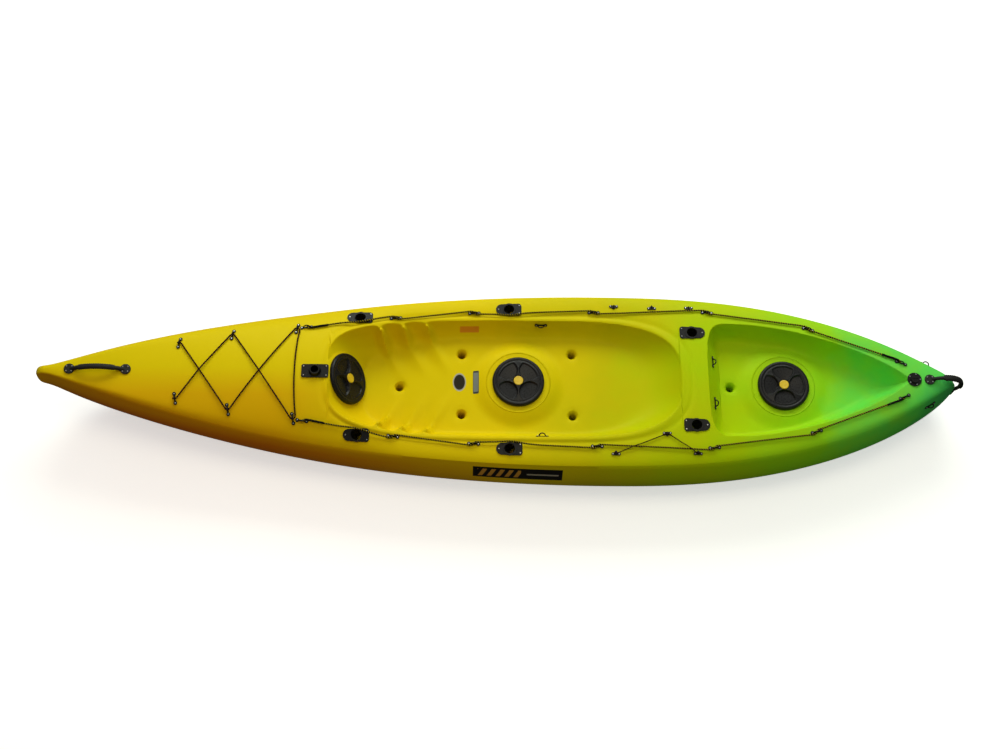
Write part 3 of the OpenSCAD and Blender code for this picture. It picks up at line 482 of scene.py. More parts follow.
def scupper_posts():
    """The tubes that join the floor to the bottom round each drain hole."""
    posts = Solids()
    for x, y in SCUPPERS:
        z = scupper_floor(x)
        posts.add(lathe_points([(30, -10), (21, 24), (21, z - 26), (31, z + 12)], 32), (x, y, 0))
    return posts.mesh("scupper_posts")


RUNNER_SPOTS, RUNNER_DEEP = (-165, 0, 165), 16
RUNNER_SECTION = [(-20, 16), (-14, 3), (-11, 0.6), (-8, 0), (8, 0), (11, 0.6), (14, 3), (20, 16)]
RUNNER_ENDS = ((690, 0.0), (665, 0.75), (650, 1))


def runners():
    """Three strips under the hull, with rounded corners and ends that fade into it."""
    strips = Solids()
    stations = [(-x, share) for x, share in RUNNER_ENDS] + list(reversed(RUNNER_ENDS))
    for middle in RUNNER_SPOTS:
        rings = []
        for x, share in stations:
            narrow, deep = 0.4 + 0.6 * share, 0.98 * share
            rings.append([(x, middle + y * narrow, RUNNER_DEEP - (RUNNER_DEEP - z) * deep + 0.1)
                          for y, z in RUNNER_SECTION])
        strips.add(np.array(rings, float))
    return strips.mesh("runners")


def boolean(piece, tool_mesh, operation):
    """Joins or cuts a piece with a mesh, which is used up."""
    tool = link("tool", tool_mesh)
    modifier = piece.modifiers.new("cut", "BOOLEAN")
    modifier.operation, modifier.solver, modifier.object = operation, "MANIFOLD", tool
    solid = bpy.data.meshes.new_from_object(piece.evaluated_get(bpy.context.evaluated_depsgraph_get()))
    piece.modifiers.clear()
    old, piece.data = piece.data, solid
    bpy.data.meshes.remove(old)
    bpy.data.objects.remove(tool)
    return piece


def make_hull():
    """The moulding: outer skin less the cavity, with the scupper tubes left and every hole cut."""
    ends = (HULL_TIP - HALF_LENGTH, STERN_END - HULL_TIP)
    stations = crowded(*ends, HULL_STATIONS, END_CROWDS + WELL_CROWDS)
    hull = link("hull", hull_skin("hull", stations, HULL_STEPS, 0.0, top_z))
    ends = (CAVITY_SHORT[0] - HALF_LENGTH, STERN_END - CAVITY_SHORT[1])
    stations = crowded(*ends, CAVITY_STATIONS, WELL_CROWDS)
    cavity = link("cavity", hull_skin("cavity", stations, CAVITY_STEPS, SKIN, inner_top))
    boolean(cavity, scupper_posts(), "DIFFERENCE")
    boolean(hull, runners(), "UNION")
    boolean(hull, cavity.data.copy(), "DIFFERENCE")
    boolean(hull, hull_cutters(), "DIFFERENCE")
    bpy.data.objects.remove(cavity)
    return hull


def shade(piece, angle=35.0):
    """Smooth shading that keeps edges sharper than the angle."""
    for polygon in piece.data.polygons:
        polygon.use_smooth = True
    piece.data.set_sharp_from_angle(angle=math.radians(angle))


# ---------------------------------------------------------------- materials
class Nodes:
    """Short calls for building a material's nodes."""

    def __init__(self, name):
        self.material = bpy.data.materials.new(name)
        self.material.use_nodes = True
        self.tree = self.material.node_tree
        self.shader = self.tree.nodes["Principled BSDF"]
        where = self.add("ShaderNodeTexCoord")
        self.place, self.facing = where.outputs["Object"], where.outputs["Normal"]

    def add(self, kind, inputs=None, **settings):
        node = self.tree.nodes.new(kind)
        for key, value in settings.items():
            setattr(node, key, value)
        for key, value in (inputs or {}).items():
            self.set(node.inputs[key], value)
        return node

    def set(self, socket, value):
        if isinstance(value, bpy.types.NodeSocket):
            self.tree.links.new(value, socket)
        else:
            socket.default_value = value

    def shader_set(self, **values):
        for key, value in values.items():
            self.set(self.shader.inputs[key.replace("_", " ")], value)

    def noise(self, scale, detail=2.0, place=None, roughness=0.5):
        inputs = {"Vector": place or self.place, "Scale": scale, "Detail": detail, "Roughness": roughness}
        return self.add("ShaderNodeTexNoise", inputs).outputs["Fac"]

    def maths(self, operation, a, b=0.0):
        return self.add("ShaderNodeMath", {0: a, 1: b}, operation=operation).outputs[0]

    def spread(self, value, low, high, to_low, to_high):
        inputs = {"Value": value, "From Min": low, "From Max": high, "To Min": to_low, "To Max": to_high}
        return self.add("ShaderNodeMapRange", inputs).outputs["Result"]

    def vector(self, operation, inputs, output=0):
        return self.add("ShaderNodeVectorMath", inputs, operation=operation).outputs[output]

    def within(self, ranges, edge):
        """1 inside every (value, low, high), falling to 0 over the edge."""
        share = 1.0
        for value, low, high in ranges:
            share = self.maths("MULTIPLY", share, self.spread(value, low - edge, low + edge, 0.0, 1.0))
            share = self.maths("MULTIPLY", share, self.spread(value, high - edge, high + edge, 1.0, 0.0))
        return share

    def spot(self, x, y, z, outline, reach):
        """1 inside a rounded outline on the cockpit floor."""
        cx, cy, half_x, half_y, power = outline
        along = self.maths("ABSOLUTE", self.maths("DIVIDE", self.maths("SUBTRACT", x, cx), half_x * reach))
        aside = self.maths("ABSOLUTE", self.maths("DIVIDE", self.maths("SUBTRACT", y, cy), half_y * reach))
        total = self.maths("ADD", self.maths("POWER", along, power), self.maths("POWER", aside, power))
        inside = self.spread(total, 0.94, 1.06, 1.0, 0.0)
        return self.maths("MULTIPLY", inside, self.within([(z, *FLOOR_HEIGHTS)], 0.001))

    def ring(self, x, y, radius, half_width):
        """1 on a circle drawn on the plan, falling to 0 either side."""
        away = self.vector("SUBTRACT", {0: self.place, 1: (x, y, 0)})
        flat = self.vector("MULTIPLY", {0: away, 1: (1, 1, 0)})
        reach = self.vector("LENGTH", {0: flat}, "Value")
        off = self.maths("ABSOLUTE", self.maths("SUBTRACT", reach, radius))
        return self.spread(off, 0.0, half_width, 1.0, 0.0)

    def ramp(self, value, stops):
        node = self.add("ShaderNodeValToRGB", {"Fac": value})
        bar = node.color_ramp
        while len(bar.elements) < len(stops):
            bar.elements.new(0.5)
        for element, (place, colour) in zip(bar.elements, stops):
            element.position, element.color = place, (*colour, 1)
        return node.outputs["Color"]

    def blend(self, a, b, share):
        node = self.add("ShaderNodeMix", data_type="RGBA")
        for socket, value in ((node.inputs["Factor"], share), (node.inputs[6], a), (node.inputs[7], b)):
            self.set(socket, value if isinstance(value, (float, bpy.types.NodeSocket)) else (*value, 1))
        return node.outputs[2]

    def bump(self, height, distance, strength=1.0, under=None):
        inputs = {"Height": height, "Distance": distance, "Strength": strength}
        if under is not None:
            inputs["Normal"] = under
        return self.add("ShaderNodeBump", inputs).outputs["Normal"]

    def soft_edges(self, radius):
        return self.add("ShaderNodeBevel", {"Radius": radius}, samples=4).outputs["Normal"]


YELLOW = (0.80, 0.62, 0.0)
# painted shade for the bow: this orange stands for the shade on its port half, and the umber below for the
# shade down its flanks
PORT_SHADE_ORANGE = (0.78, 0.34, 0.0)
FLANK_SHADE_UMBER = (0.62, 0.20, 0.0)
GOLD_LIME = (0.62, 0.56, 0.0)
LIME = (0.46, 0.66, 0.0)
LEAF = (0.31, 0.74, 0.012)
SEA = (0.11, 0.76, 0.09)
TIP = (0.05, 0.62, 0.15)
DUST = (0.72, 0.66, 0.06)
HULL_COLOURS = [(0.0, YELLOW), (0.50, YELLOW), (0.61, GOLD_LIME), (0.75, LIME), (0.87, LEAF), (0.94, SEA),
                (0.985, TIP)]

# plain stickers, in metres: the cockpit floor's lie between these heights, and each has its middle and half
# sizes, how square it is, its colour and its border
FLOOR_HEIGHTS = (0.17, 0.25)
FLOOR_STICKERS = (((-0.193, 0.008, 0.028, 0.041, 2.0), (0.02, 0.02, 0.018), (0.42, 0.42, 0.36)),
                  ((-0.123, 0.007, 0.0125, 0.052, 14.0), (0.20, 0.23, 0.22), (0.05, 0.06, 0.06)))


# the band on the port side, its gold bars and its pale line: along and up; then how far out they all are
BAND = ((-0.134, 0.238), (0.160, 0.234))
BARS = ((-0.115, 0.065), (0.172, 0.222))
LINE = ((0.09, 0.222), (0.192, 0.202))
BAND_DEPTHS, STICKER_EDGE = (-0.45, -0.3), 0.0008
BAND_BLACK, BAR_GOLD, LINE_GREY = (0.010, 0.010, 0.012), (0.55, 0.30, 0.05), (0.35, 0.35, 0.33)
WALL_LABEL, LABEL_ORANGE = ((-0.193, -0.111), (0.2, 0.262), (0.213, 0.243)), (0.74, 0.30, 0.02)
BAR_LEAN = (170.0, -70.0)


def side_stripe(n, x, y, z):
    """A dark band low on the port side, with slanted gold bars and a thin pale line: how much of each."""
    band, bar_area, line = (n.within([(x, *along), (z, *up), (y, *BAND_DEPTHS)], STICKER_EDGE)
                            for along, up in (BAND, BARS, LINE))
    lean = n.maths("ADD", n.maths("MULTIPLY", x, BAR_LEAN[0]), n.maths("MULTIPLY", z, BAR_LEAN[1]))
    bars = n.spread(n.maths("SINE", lean), -0.1, 0.1, 0.0, 1.0)
    return band, n.maths("MULTIPLY", bars, bar_area), line


def stickers(n, colour, x, y, z):
    """The hull's colour with the side band, the floor stickers and the wall label over it."""
    for share, tone in zip(side_stripe(n, x, y, z), (BAND_BLACK, BAR_GOLD, LINE_GREY)):
        colour = n.blend(colour, tone, share)
    for outline, fill, rim in FLOOR_STICKERS:
        for reach, tone in ((1.0, rim), (0.84, fill)):
            colour = n.blend(colour, tone, n.spot(x, y, z, outline, reach))
    label = n.within([(axis, *ends) for axis, ends in zip((x, y, z), WALL_LABEL)], STICKER_EDGE)
    return n.blend(colour, LABEL_ORANGE, label)


def bow_painted_shade(n, colour, x, y, z, cloud):
    """Painted shade on the bow: an orange cast over its port half, and umber down the outside of its flanks
    where they face sideways, strongest low down.
    """
    facing = n.add("ShaderNodeSeparateXYZ", {"Vector": n.facing}).outputs
    outward = n.spread(n.maths("MULTIPLY", y, facing["Y"]), 0.0, 0.02, 0.0, 1.0)
    forward = n.spread(n.maths("ADD", x, n.maths("MULTIPLY", cloud, 0.4)), -0.95, 0.05, 1.0, 0.0)
    port = n.maths("MULTIPLY", n.spread(y, -0.10, 0.015, 1.0, 0.0), n.spread(x, -0.95, -0.68, 1.0, 0.35))
    side = n.maths("MULTIPLY", outward, n.spread(facing["Z"], 0.55, 0.93, 1.0, 0.0))
    # painted shade: orange over the port half of the bow's deck, fading aft and clouded at its edge
    colour = n.blend(colour, PORT_SHADE_ORANGE, n.maths("MULTIPLY", forward, n.maths("MULTIPLY", port, 0.55)))
    # painted shade: umber where the bow's flanks face outward and sideways, strongest low down
    low = n.maths("MULTIPLY", side, n.spread(z, 0.2, 0.27, 0.9, 0.25))
    return n.blend(colour, FLANK_SHADE_UMBER, n.maths("MULTIPLY", forward, low))


def moulded_skin(n):
    """The moulding's fine pebble and orange peel, with a groove round each flat hatch."""
    pebble = n.bump(n.noise(750.0, 3.0), 0.0004, 0.35)
    skin = n.bump(n.noise(55.0, 2.0), 0.0011, 0.25, under=pebble)
    for hatch in (CENTRE_HATCH, REAR_HATCH):
        skin = n.bump(n.ring(hatch[0] * MM, 0.0, 0.134, 0.004), 0.0035, 0.8, under=skin)
    return skin


def hull_material():
    """Polyethylene running from yellow at the bow to sea green at the stern, with cloudy borders."""
    n = Nodes("hull_plastic")
    axes = n.add("ShaderNodeSeparateXYZ", {"Vector": n.place}).outputs
    x, y, z = axes["X"], axes["Y"], axes["Z"]
    cloud = n.maths("MULTIPLY", n.maths("SUBTRACT", n.noise(2.2, 4.0, roughness=0.55), 0.5), 0.85)
    patch = n.maths("MULTIPLY", n.maths("SUBTRACT", n.noise(7.0, 3.0), 0.5), 0.28)
    share = n.spread(n.maths("ADD", x, n.maths("ADD", cloud, patch)), -1.95, 1.95, 0.0, 1.0)
    # the bow's shade is painted on here: orange over its port half and umber down its flanks
    colour = bow_painted_shade(n, n.ramp(share, HULL_COLOURS), x, y, z, cloud)
    colour = n.blend(colour, DUST, n.spread(n.noise(900.0, 2.0), 0.35, 0.7, 0.0, 0.06))
    scuffs = n.spread(n.noise(38.0, 6.0, roughness=0.7), 0.45, 0.75, 0.38, 0.55)
    n.shader_set(Base_Color=stickers(n, colour, x, y, z), Roughness=scuffs, Normal=moulded_skin(n),
                 Specular_IOR_Level=0.12, Specular_Tint=(1.0, 0.8, 0.25, 1))
    return n.material


def black_plastic(name, tone, roughness, grain=1400.0):
    """Moulded black nylon: a fine grain, faint dust and a paler worn bloom."""
    n = Nodes(name)
    bloom = n.spread(n.noise(60.0, 5.0, roughness=0.65), 0.4, 0.75, 0.0, 0.3)
    colour = n.blend((tone, tone, tone * 1.1), (tone * 3.0, tone * 3.0, tone * 3.3), bloom)
    rough = n.spread(n.noise(140.0, 4.0), 0.3, 0.7, roughness - 0.08, roughness + 0.1)
    skin = n.bump(n.noise(grain, 2.0), 0.0002, 0.4, under=n.soft_edges(0.0009))
    n.shader_set(Base_Color=colour, Roughness=rough, Normal=skin, Specular_IOR_Level=0.22)
    return n.material


def rubber(name):
    """Black rubber with a dull grey bloom."""
    n = Nodes(name)
    bloom = n.spread(n.noise(90.0, 5.0), 0.4, 0.8, 0.0, 0.5)
    colour = n.blend((0.010, 0.010, 0.010), (0.03, 0.03, 0.028), bloom)
    skin = n.bump(n.noise(2200.0, 2.0), 0.00015, 0.5, under=n.soft_edges(0.001))
    n.shader_set(Base_Color=colour, Roughness=n.spread(n.noise(200.0, 3.0), 0.3, 0.7, 0.5, 0.75), Normal=skin,
                 Specular_IOR_Level=0.3)
    return n.material


def yellow_plastic():
    """The lids' buttons: smooth, with slight fading."""
    n = Nodes("yellow_buttons")
    tone = n.spread(n.noise(80.0, 4.0), 0.3, 0.75, 0.0, 0.6)
    colour = n.blend((0.83, 0.56, 0.015), (0.66, 0.44, 0.012), tone)
    n.shader_set(Base_Color=colour, Roughness=n.spread(n.noise(260.0, 3.0), 0.3, 0.7, 0.28, 0.42),
                 Normal=n.bump(n.noise(900.0, 2.0), 0.0001, 0.35))
    return n.material


def stainless():
    """Screw heads: brushed and a little stained."""
    n = Nodes("stainless_screws")
    tone = n.spread(n.noise(500.0, 3.0), 0.3, 0.7, 0.0, 1.0)
    n.shader_set(Base_Color=n.blend((0.52, 0.53, 0.54), (0.36, 0.37, 0.38), tone), Metallic=1.0,
                 Roughness=n.spread(n.noise(1200.0, 3.0), 0.3, 0.7, 0.2, 0.38),
                 Normal=n.bump(n.noise(2600.0, 2.0), 0.00006, 0.4))
    return n.material


def braid(name, base, fleck, share, turns, slope, lay):
    """Braided cord: two sets of strands crossing, and flecks that wind round it once in each lay."""
    n = Nodes(name)
    uv = n.add("ShaderNodeUVMap", uv_map="UVMap").outputs["UV"]
    axes = n.add("ShaderNodeSeparateXYZ", {"Vector": uv}).outputs
    length, turn = axes["X"], n.maths("MULTIPLY", axes["Y"], 2 * math.pi)
    run, round_it = n.maths("MULTIPLY", length, slope), n.maths("MULTIPLY", turn, float(turns))
    one = n.maths("SINE", n.maths("ADD", run, round_it))
    other = n.maths("SINE", n.maths("SUBTRACT", run, round_it))
    strands = n.maths("MAXIMUM", one, other)
    thread = n.maths("SINE", n.maths("ADD", n.maths("MULTIPLY", length, 2 * math.pi / lay), turn))
    worn = n.maths("ADD", thread, n.maths("MULTIPLY", n.noise(300.0), 0.4))
    mark = n.spread(worn, 1.2 - share, 1.3 - share, 0.0, 1.0)
    fluff = n.spread(n.noise(2500.0, 3.0), 0.3, 0.7, 0.6, 1.35)
    colour = n.vector("SCALE", {0: n.blend(base, fleck, mark), "Scale": fluff})
    n.shader_set(Base_Color=colour, Roughness=n.spread(strands, -1, 1, 0.95, 0.7),
                 Normal=n.bump(strands, 0.0004, 0.9), Specular_IOR_Level=0.1)
    return n.material


def floor_material():
    """A near-white sheet with slight clouding."""
    n = Nodes("studio_floor")
    tone = n.spread(n.noise(1.2, 4.0), 0.3, 0.7, 0.0, 1.0)
    n.shader_set(Base_Color=n.blend((0.93, 0.93, 0.93), (0.90, 0.90, 0.90), tone), Roughness=0.75,
                 Normal=n.bump(n.noise(40.0), 0.0008, 0.08), Emission_Color=(1, 1, 1, 1),
                 Emission_Strength=0.55)
    return n.material


def dress(piece, material, body="hull"):
    """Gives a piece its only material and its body."""
    piece.data.materials.clear()
    piece.data.materials.append(material)
    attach(piece, body)
    return piece


# ---------------------------------------------------------------- hatch lids
LID_STEPS, LID_TOP_RINGS = 144, 46
LID_TOP, LID_TOP_RADIUS, LID_CROWN = 22.0, 90, 5
LID_RIM = [(91.5, 16.2), (93, 15.6), (95, 16.6), (97, 17.6), (100, 17.9), (103, 17.6), (105.5, 16.6),
           (107.6, 14.8), (109, 12.4), (109.8, 9.5), (110, 6), (110, 2.6), (109.4, 1.7), (108.6, 1.6)]
LID_PLUG = [(107.9, 2.2), (107.9, 7), (96, 7), (88.5, 7), (88.5, -14.5), (87.5, -16), (85, -16), (84, -14.5),
            (84, 7.2), (60, 7.2), (0.5, 7.2)]
# the finger scoops: a circle's middle and radius, where they end, and their depth at the hub and outside
SCOOP_CENTRE, SCOOP_RADIUS, SCOOP_OUTER, SCOOP_DEPTHS = 68.0, 45.0, 85.0, (13.5, 4.5)
SCOOP_RIDGE = 1.1
HUB_RADIUS, HUB_FALL = 22.5, 3.0


def lid_profile():
    """Radius and height from the middle of the top, out, down the skirt and back under to the middle."""
    radii = np.linspace(0.5, LID_TOP_RADIUS, LID_TOP_RINGS)
    return [(r, LID_TOP - LID_CROWN * (r / LID_TOP_RADIUS) ** 2) for r in radii] + LID_RIM + LID_PLUG


def scoop_fall(r, angle):
    """Four finger scoops between the arms of the cross, deepest near the hub."""
    turn = np.mod(angle, math.pi / 2) - math.pi / 4
    from_centre = np.hypot(r * np.cos(turn) - SCOOP_CENTRE, r * np.sin(turn))
    inside = smooth((SCOOP_RADIUS - from_centre) / 3.2) * smooth((SCOOP_OUTER - r) / 3.0)
    depth = mix(*SCOOP_DEPTHS, np.clip((r - 26) / 58, 0, 1))
    ridge = SCOOP_RIDGE * hump(from_centre - SCOOP_RADIUS - 2.2, 1.6) * smooth((SCOOP_OUTER + 4 - r) / 4)
    return inside * depth - ridge


def on_hatch(name, rings, hatch):
    """A closed skin placed on a hatch's seat."""
    points, faces = ring_grid(rings)
    piece = link(name, mesh_from(name, placed(points, (hatch[0], 0, hatch[1]), hatch[2]), faces))
    shade(piece, 50)
    return piece


def make_lid(name, hatch, turn):
    """A lid with four scoops, turned on its seat by some degrees."""
    angles = np.linspace(0, 2 * math.pi, LID_STEPS, endpoint=False)
    rings = []
    for k, (r, z) in enumerate(lid_profile()):
        ring = np.column_stack([r * np.cos(angles), r * np.sin(angles), np.full(LID_STEPS, z)])
        if k < LID_TOP_RINGS:
            ring[:, 2] -= scoop_fall(r, angles + math.radians(turn))
            ring[:, 2] -= HUB_FALL * smooth((HUB_RADIUS - r) / 1.5)
        rings.append(ring)
    rings.reverse()
    return on_hatch(name, rings, hatch)


BUTTON = [(0.5, 18), (20, 18), (20, 22.4), (19.6, 23.4), (18.4, 24.1), (16.5, 24.3), (14.5, 24.0),
          (12.5, 23.5), (8, 23.7), (4, 23.8), (0.5, 23.85)]


def make_button(name, hatch):
    return on_hatch(name, lathe_points(BUTTON, 72), hatch)


# ---------------------------------------------------------------- carry handles
PAD = [(0.5, 0), (21.4, 0), (22, 0.8), (22, 4.4), (21.2, 5.6), (19.8, 6), (14, 6.2), (0.5, 6.4)]
GRIP_PITCH, GRIP_STEP, RIB_DEPTHS = 9.0, 1.5, (0.06, 0.12)
# bow: the pads' places, the arc's rise, its thickness, its grip's half width and share of the arc
BOW_PADS, BOW_GRIP_RISE, BOW_THICK, BOW_WIDE, BOW_GRIP = (-1800.0, -1570.0), 34.0, 8.9, 12.5, 0.66
# stern: the pad's place, then the arc's centre, radius and angles, its thickness, half width and share
STERN_PAD, STERN_ARC, STERN_ANGLES = 1790.0, ((1854.0, 232.0), 88.0), (-36, 126)
STERN_THICK, STERN_WIDE, STERN_GRIP = 7.9, 14.5, 0.62
# the flat end against the stem: half its outline (y, z) from the bottom up, then stations and width shares
STERN_STRAP = [(-11, 147), (-12, 149), (-12, 187), (-11, 189)]
STRAP_STATIONS = ((1922.2, 1.0), (1926.8, 1.0), (1928.0, 0.9))
PAD_LIFT = 0.2


def grip_rings(centre, radius, angles, thick, wide, grip):
    """Rings along an arc in the XZ plane, whose middle share is a ribbed grip wider than its ends."""
    length = radius * math.radians(abs(angles[1] - angles[0]))
    count = int(length / GRIP_STEP)
    turn = np.linspace(0, 2 * math.pi, 28, endpoint=False)
    rings = []
    for k in range(count + 1):
        u = k / count
        a = math.radians(mix(angles[0], angles[1], u))
        held = smooth((grip / 2 - abs(u - 0.5)) * length / 10 + 0.5)
        rib = held * (0.5 + 0.5 * math.cos(2 * math.pi * u * length / GRIP_PITCH))
        out = radius + thick * (1 - RIB_DEPTHS[0] * rib) * np.cos(turn)
        broad = mix(thick, wide, held) * (1 - RIB_DEPTHS[1] * rib) * np.sin(turn)
        rings.append(np.column_stack([centre[0] + out * math.cos(a), broad, centre[1] + out * math.sin(a)]))
    return rings


def make_bow_handle():
    """An arched grip between two pads on the deck."""
    z = max(float(deck_z(x, 0.0)) for x in BOW_PADS) + PAD_LIFT
    span = BOW_PADS[1] - BOW_PADS[0] - 16
    radius = (span**2 / 4 + BOW_GRIP_RISE**2) / (2 * BOW_GRIP_RISE)
    half = math.degrees(math.asin(span / 2 / radius))
    centre = (sum(BOW_PADS) / 2, z + BOW_GRIP_RISE - radius)
    solids = Solids()
    solids.add(grip_rings(centre, radius, (90 - half, 90 + half), BOW_THICK, BOW_WIDE, BOW_GRIP))
    for x in BOW_PADS:
        solids.add(lathe_points(PAD, 64), (x, 0, z))
    return link("bow_carry_handle", solids.mesh("bow_carry_handle"))


def make_stern_handle():
    """A curved grip from a pad on the deck, round over the stern, to a flat end on the stem."""
    solids = Solids()
    solids.add(grip_rings(*STERN_ARC, STERN_ANGLES, STERN_THICK, STERN_WIDE, STERN_GRIP))
    solids.add(lathe_points(PAD, 64), (STERN_PAD, 0, float(deck_z(STERN_PAD, 0.0)) + PAD_LIFT))
    outline = STERN_STRAP + [(-y, z) for y, z in reversed(STERN_STRAP)]
    solids.add([np.array([(x, y * share, z) for y, z in outline], float) for x, share in STRAP_STATIONS])
    return link("stern_carry_handle", solids.mesh("stern_carry_handle"))


# ---------------------------------------------------------------- cords
def unit(v):
    return v / np.linalg.norm(v)


def slope(x, y):
    return np.array([(deck_z(x + 5, y) - deck_z(x - 5, y)) / 10, (deck_z(x, y + 5) - deck_z(x, y - 5)) / 10])


def on_deck(p, height):
    sx, sy = slope(p[0], p[1])
    return np.array([p[0], p[1], float(deck_z(p[0], p[1]))]) + unit(np.array([-sx, -sy, 1.0])) * height


# the eyes that each cord runs through: x, y
LINE_EYES = np.array([[-838, 207], [-465, 264], [-132, 292], [378, 300], [864, 303], [1294, 230], [1676, 76]],
                     float)
SHOCK_EYES = np.array([[-1360, 122], [-1143, 165], [-876, 199]], float)
KEEPER_EYES = np.array([[455, -331], [669, -243], [795, -328]], float)
EYE_LIFT, EYE_PLATE, LINE_RADIUS, SHOCK_RADIUS, KEEPER_RADIUS = 1.4, 3.0, 2.5, 2.5, 2.0
CORD_STAND = EYE_LIFT + EYE_PLATE + LINE_RADIUS + 0.5
CROSSING_LIFT = 2 * SHOCK_RADIUS + 0.8
# a deck line's way past an eye, along and across it; then how far it lifts over and pushes past rod holders
WEAVE = 6.8
EYE_WEAVE = [(-28, WEAVE), (-9, WEAVE), (0, 0), (9, -WEAVE), (28, -WEAVE)]
FIRST_WEAVE = [(4.5, 2.5), (7, -5), (28, -WEAVE)]
LAST_WEAVE = [(-28, WEAVE), (-7, 5), (-4.5, -2.5)]
ROD_LIFT, ROD_LIFT_REACH = 3.4, 80.0
ROD_PUSH, ROD_PUSH_REACH = (7.8, 10.0), 60.0
SHOCK_CROSSINGS, KEEPER_CROSSINGS = ((-1262, 0), (-1014, 0)), ((528, -303), (758, -301))


def line_heading(i):
    a, b = LINE_EYES[max(0, i - 1)], LINE_EYES[min(len(LINE_EYES) - 1, i + 1)]
    return math.atan2(b[1] - a[1], b[0] - a[0])


def eye_pass(i):
    weave = FIRST_WEAVE if i == 0 else LAST_WEAVE if i == len(LINE_EYES) - 1 else EYE_WEAVE
    c, s = math.cos(line_heading(i)), math.sin(line_heading(i))
    return [LINE_EYES[i] + (vx * c - vy * s, vx * s + vy * c) for vx, vy in weave]


def over_rods(x):
    return ROD_LIFT * max(math.exp(-(((x - s[0]) / ROD_LIFT_REACH) ** 2)) for s in ROD_SPOTS[:2])


def beside_rods(x):
    return max(push * math.exp(-(((x - s[0]) / ROD_PUSH_REACH) ** 2)) for push, s in zip(ROD_PUSH, ROD_SPOTS))


def deck_line_route(side):
    """Through seven eyes along one side of the deck."""
    plan = []
    for i in range(len(LINE_EYES)):
        passing = eye_pass(i)
        plan += passing
        if i < len(LINE_EYES) - 1:
            plan += [mix(passing[-1], eye_pass(i + 1)[0], k / 7) for k in range(1, 7)]
    return [on_deck(p - (0, beside_rods(p[0])), CORD_STAND + over_rods(p[0])) * (1, side, 1) for p in plan]


def leg(a, b, n):
    return [mix(np.asarray(a, float), np.asarray(b, float), k / (n + 1)) for k in range(1, n + 1)]


def across(p):
    return np.array([p[0], -p[1]])


def raised(p, spots, reach, height):
    return max(height * math.exp(-((np.linalg.norm(p - np.array(c)) / reach) ** 2)) for c in spots)


def shock_route():
    """Out through the eyes of the bow's lacing, across between the last two, and back."""
    bow, mid, aft = SHOCK_EYES
    out = [bow + (-9, 0), bow, bow + (9, -4)]
    middle = [across(mid + o) for o in ((-9, -5), (0, 0), (9, -5))]
    last = [aft + (-9, -3), aft, aft + (8, -3), aft + (10.5, -14)]
    first = out + leg(out[2], middle[0], 9) + middle + leg(middle[2], last[0], 9) + last
    tie = [p - (10 * (1 - (p[1] / 190) ** 2), 0) for p in leg(last[3], across(last[3]), 8)]
    back = [across(p) for p in reversed(first)]
    over = [on_deck(p, CORD_STAND + raised(p, SHOCK_CROSSINGS, 55, CROSSING_LIFT)) for p in back]
    return [on_deck(p, CORD_STAND) for p in first + tie] + over


def keeper_route():
    """The paddle keeper's cord, over the deck line that it crosses twice."""
    a, b, c = KEEPER_EYES
    stand = EYE_LIFT + EYE_PLATE + KEEPER_RADIUS + 0.4
    first, middle, last = ([p + o for o in offsets] for p, offsets in (
        (a, ((-8, 5), (8, 5))), (b, ((-9, -6), (0, -4), (9, -6))), (c, ((-8, 5), (8, 5)))))
    plan = first + leg(first[-1], middle[0], 9) + middle + leg(middle[-1], last[0], 7) + last
    return [on_deck(p, stand + raised(p, KEEPER_CROSSINGS, 26, 1.3 * CROSSING_LIFT)) for p in plan]


def softened(route, parts):
    """A smooth curve through the route's points."""
    p = np.asarray(route)
    p = np.concatenate([[2 * p[0] - p[1]], p, [2 * p[-1] - p[-2]]])
    out = []
    for a, b, c, d in zip(p[:-3], p[1:-2], p[2:-1], p[3:]):
        for t in np.linspace(0, 1, parts, endpoint=False):
            bend, twist = 2 * a - 5 * b + 4 * c - d, 3 * b - a - 3 * c + d
            out.append(0.5 * (2 * b + (c - a) * t + bend * t**2 + twist * t**3))
    return np.array(out + [p[-2]])


CORD_SIDES = 12
# the braids stand a little proud of the CAD's cords, and the bound ends more
LINE_LOOK_RADIUS, SHOCK_LOOK_RADIUS, WHIPPING_RADIUS = 3.4, 3.1, 4.7


def whipped(route, reach):
    """The part of a route near its start that is doubled back and bound."""
    run = np.concatenate([[0], np.cumsum(np.linalg.norm(np.diff(route, axis=0), axis=1))])
    spots = np.linspace(16.0, reach, 8)
    return [np.array([np.interp(d, run, np.asarray(route)[:, k]) for k in range(3)]) for d in spots]


def tube(name, route, radius, parts=4):
    """Round cord along a route, with its length in metres and its turn as UV."""
    line = softened(route, parts)
    ahead = np.gradient(line, axis=0)
    run = np.concatenate([[0], np.cumsum(np.linalg.norm(np.diff(line, axis=0), axis=1))]) * MM
    angles = np.linspace(0, 2 * math.pi, CORD_SIDES, endpoint=False)
    rings = []
    for p, d in zip(line, ahead):
        side = unit(np.cross(unit(d), (0, 0, 1)))
        up = np.cross(side, unit(d))
        rings.append(p + radius * (np.outer(np.cos(angles), side) + np.outer(np.sin(angles), up)))
    points, faces = ring_grid(rings)
    piece = link(name, mesh_from(name, points, faces))
    layer = piece.data.uv_layers.new(name="UVMap")
    for polygon in piece.data.polygons:
        turns = [(v % CORD_SIDES) / CORD_SIDES for v in polygon.vertices]
        wraps = max(turns) - min(turns) > 0.5 and len(turns) == 4
        for loop, vertex, turn in zip(polygon.loop_indices, polygon.vertices, turns):
            layer.data[loop].uv = (run[vertex // CORD_SIDES], turn + (1 if wraps and turn < 0.5 else 0))
    shade(piece, 60)
    return piece


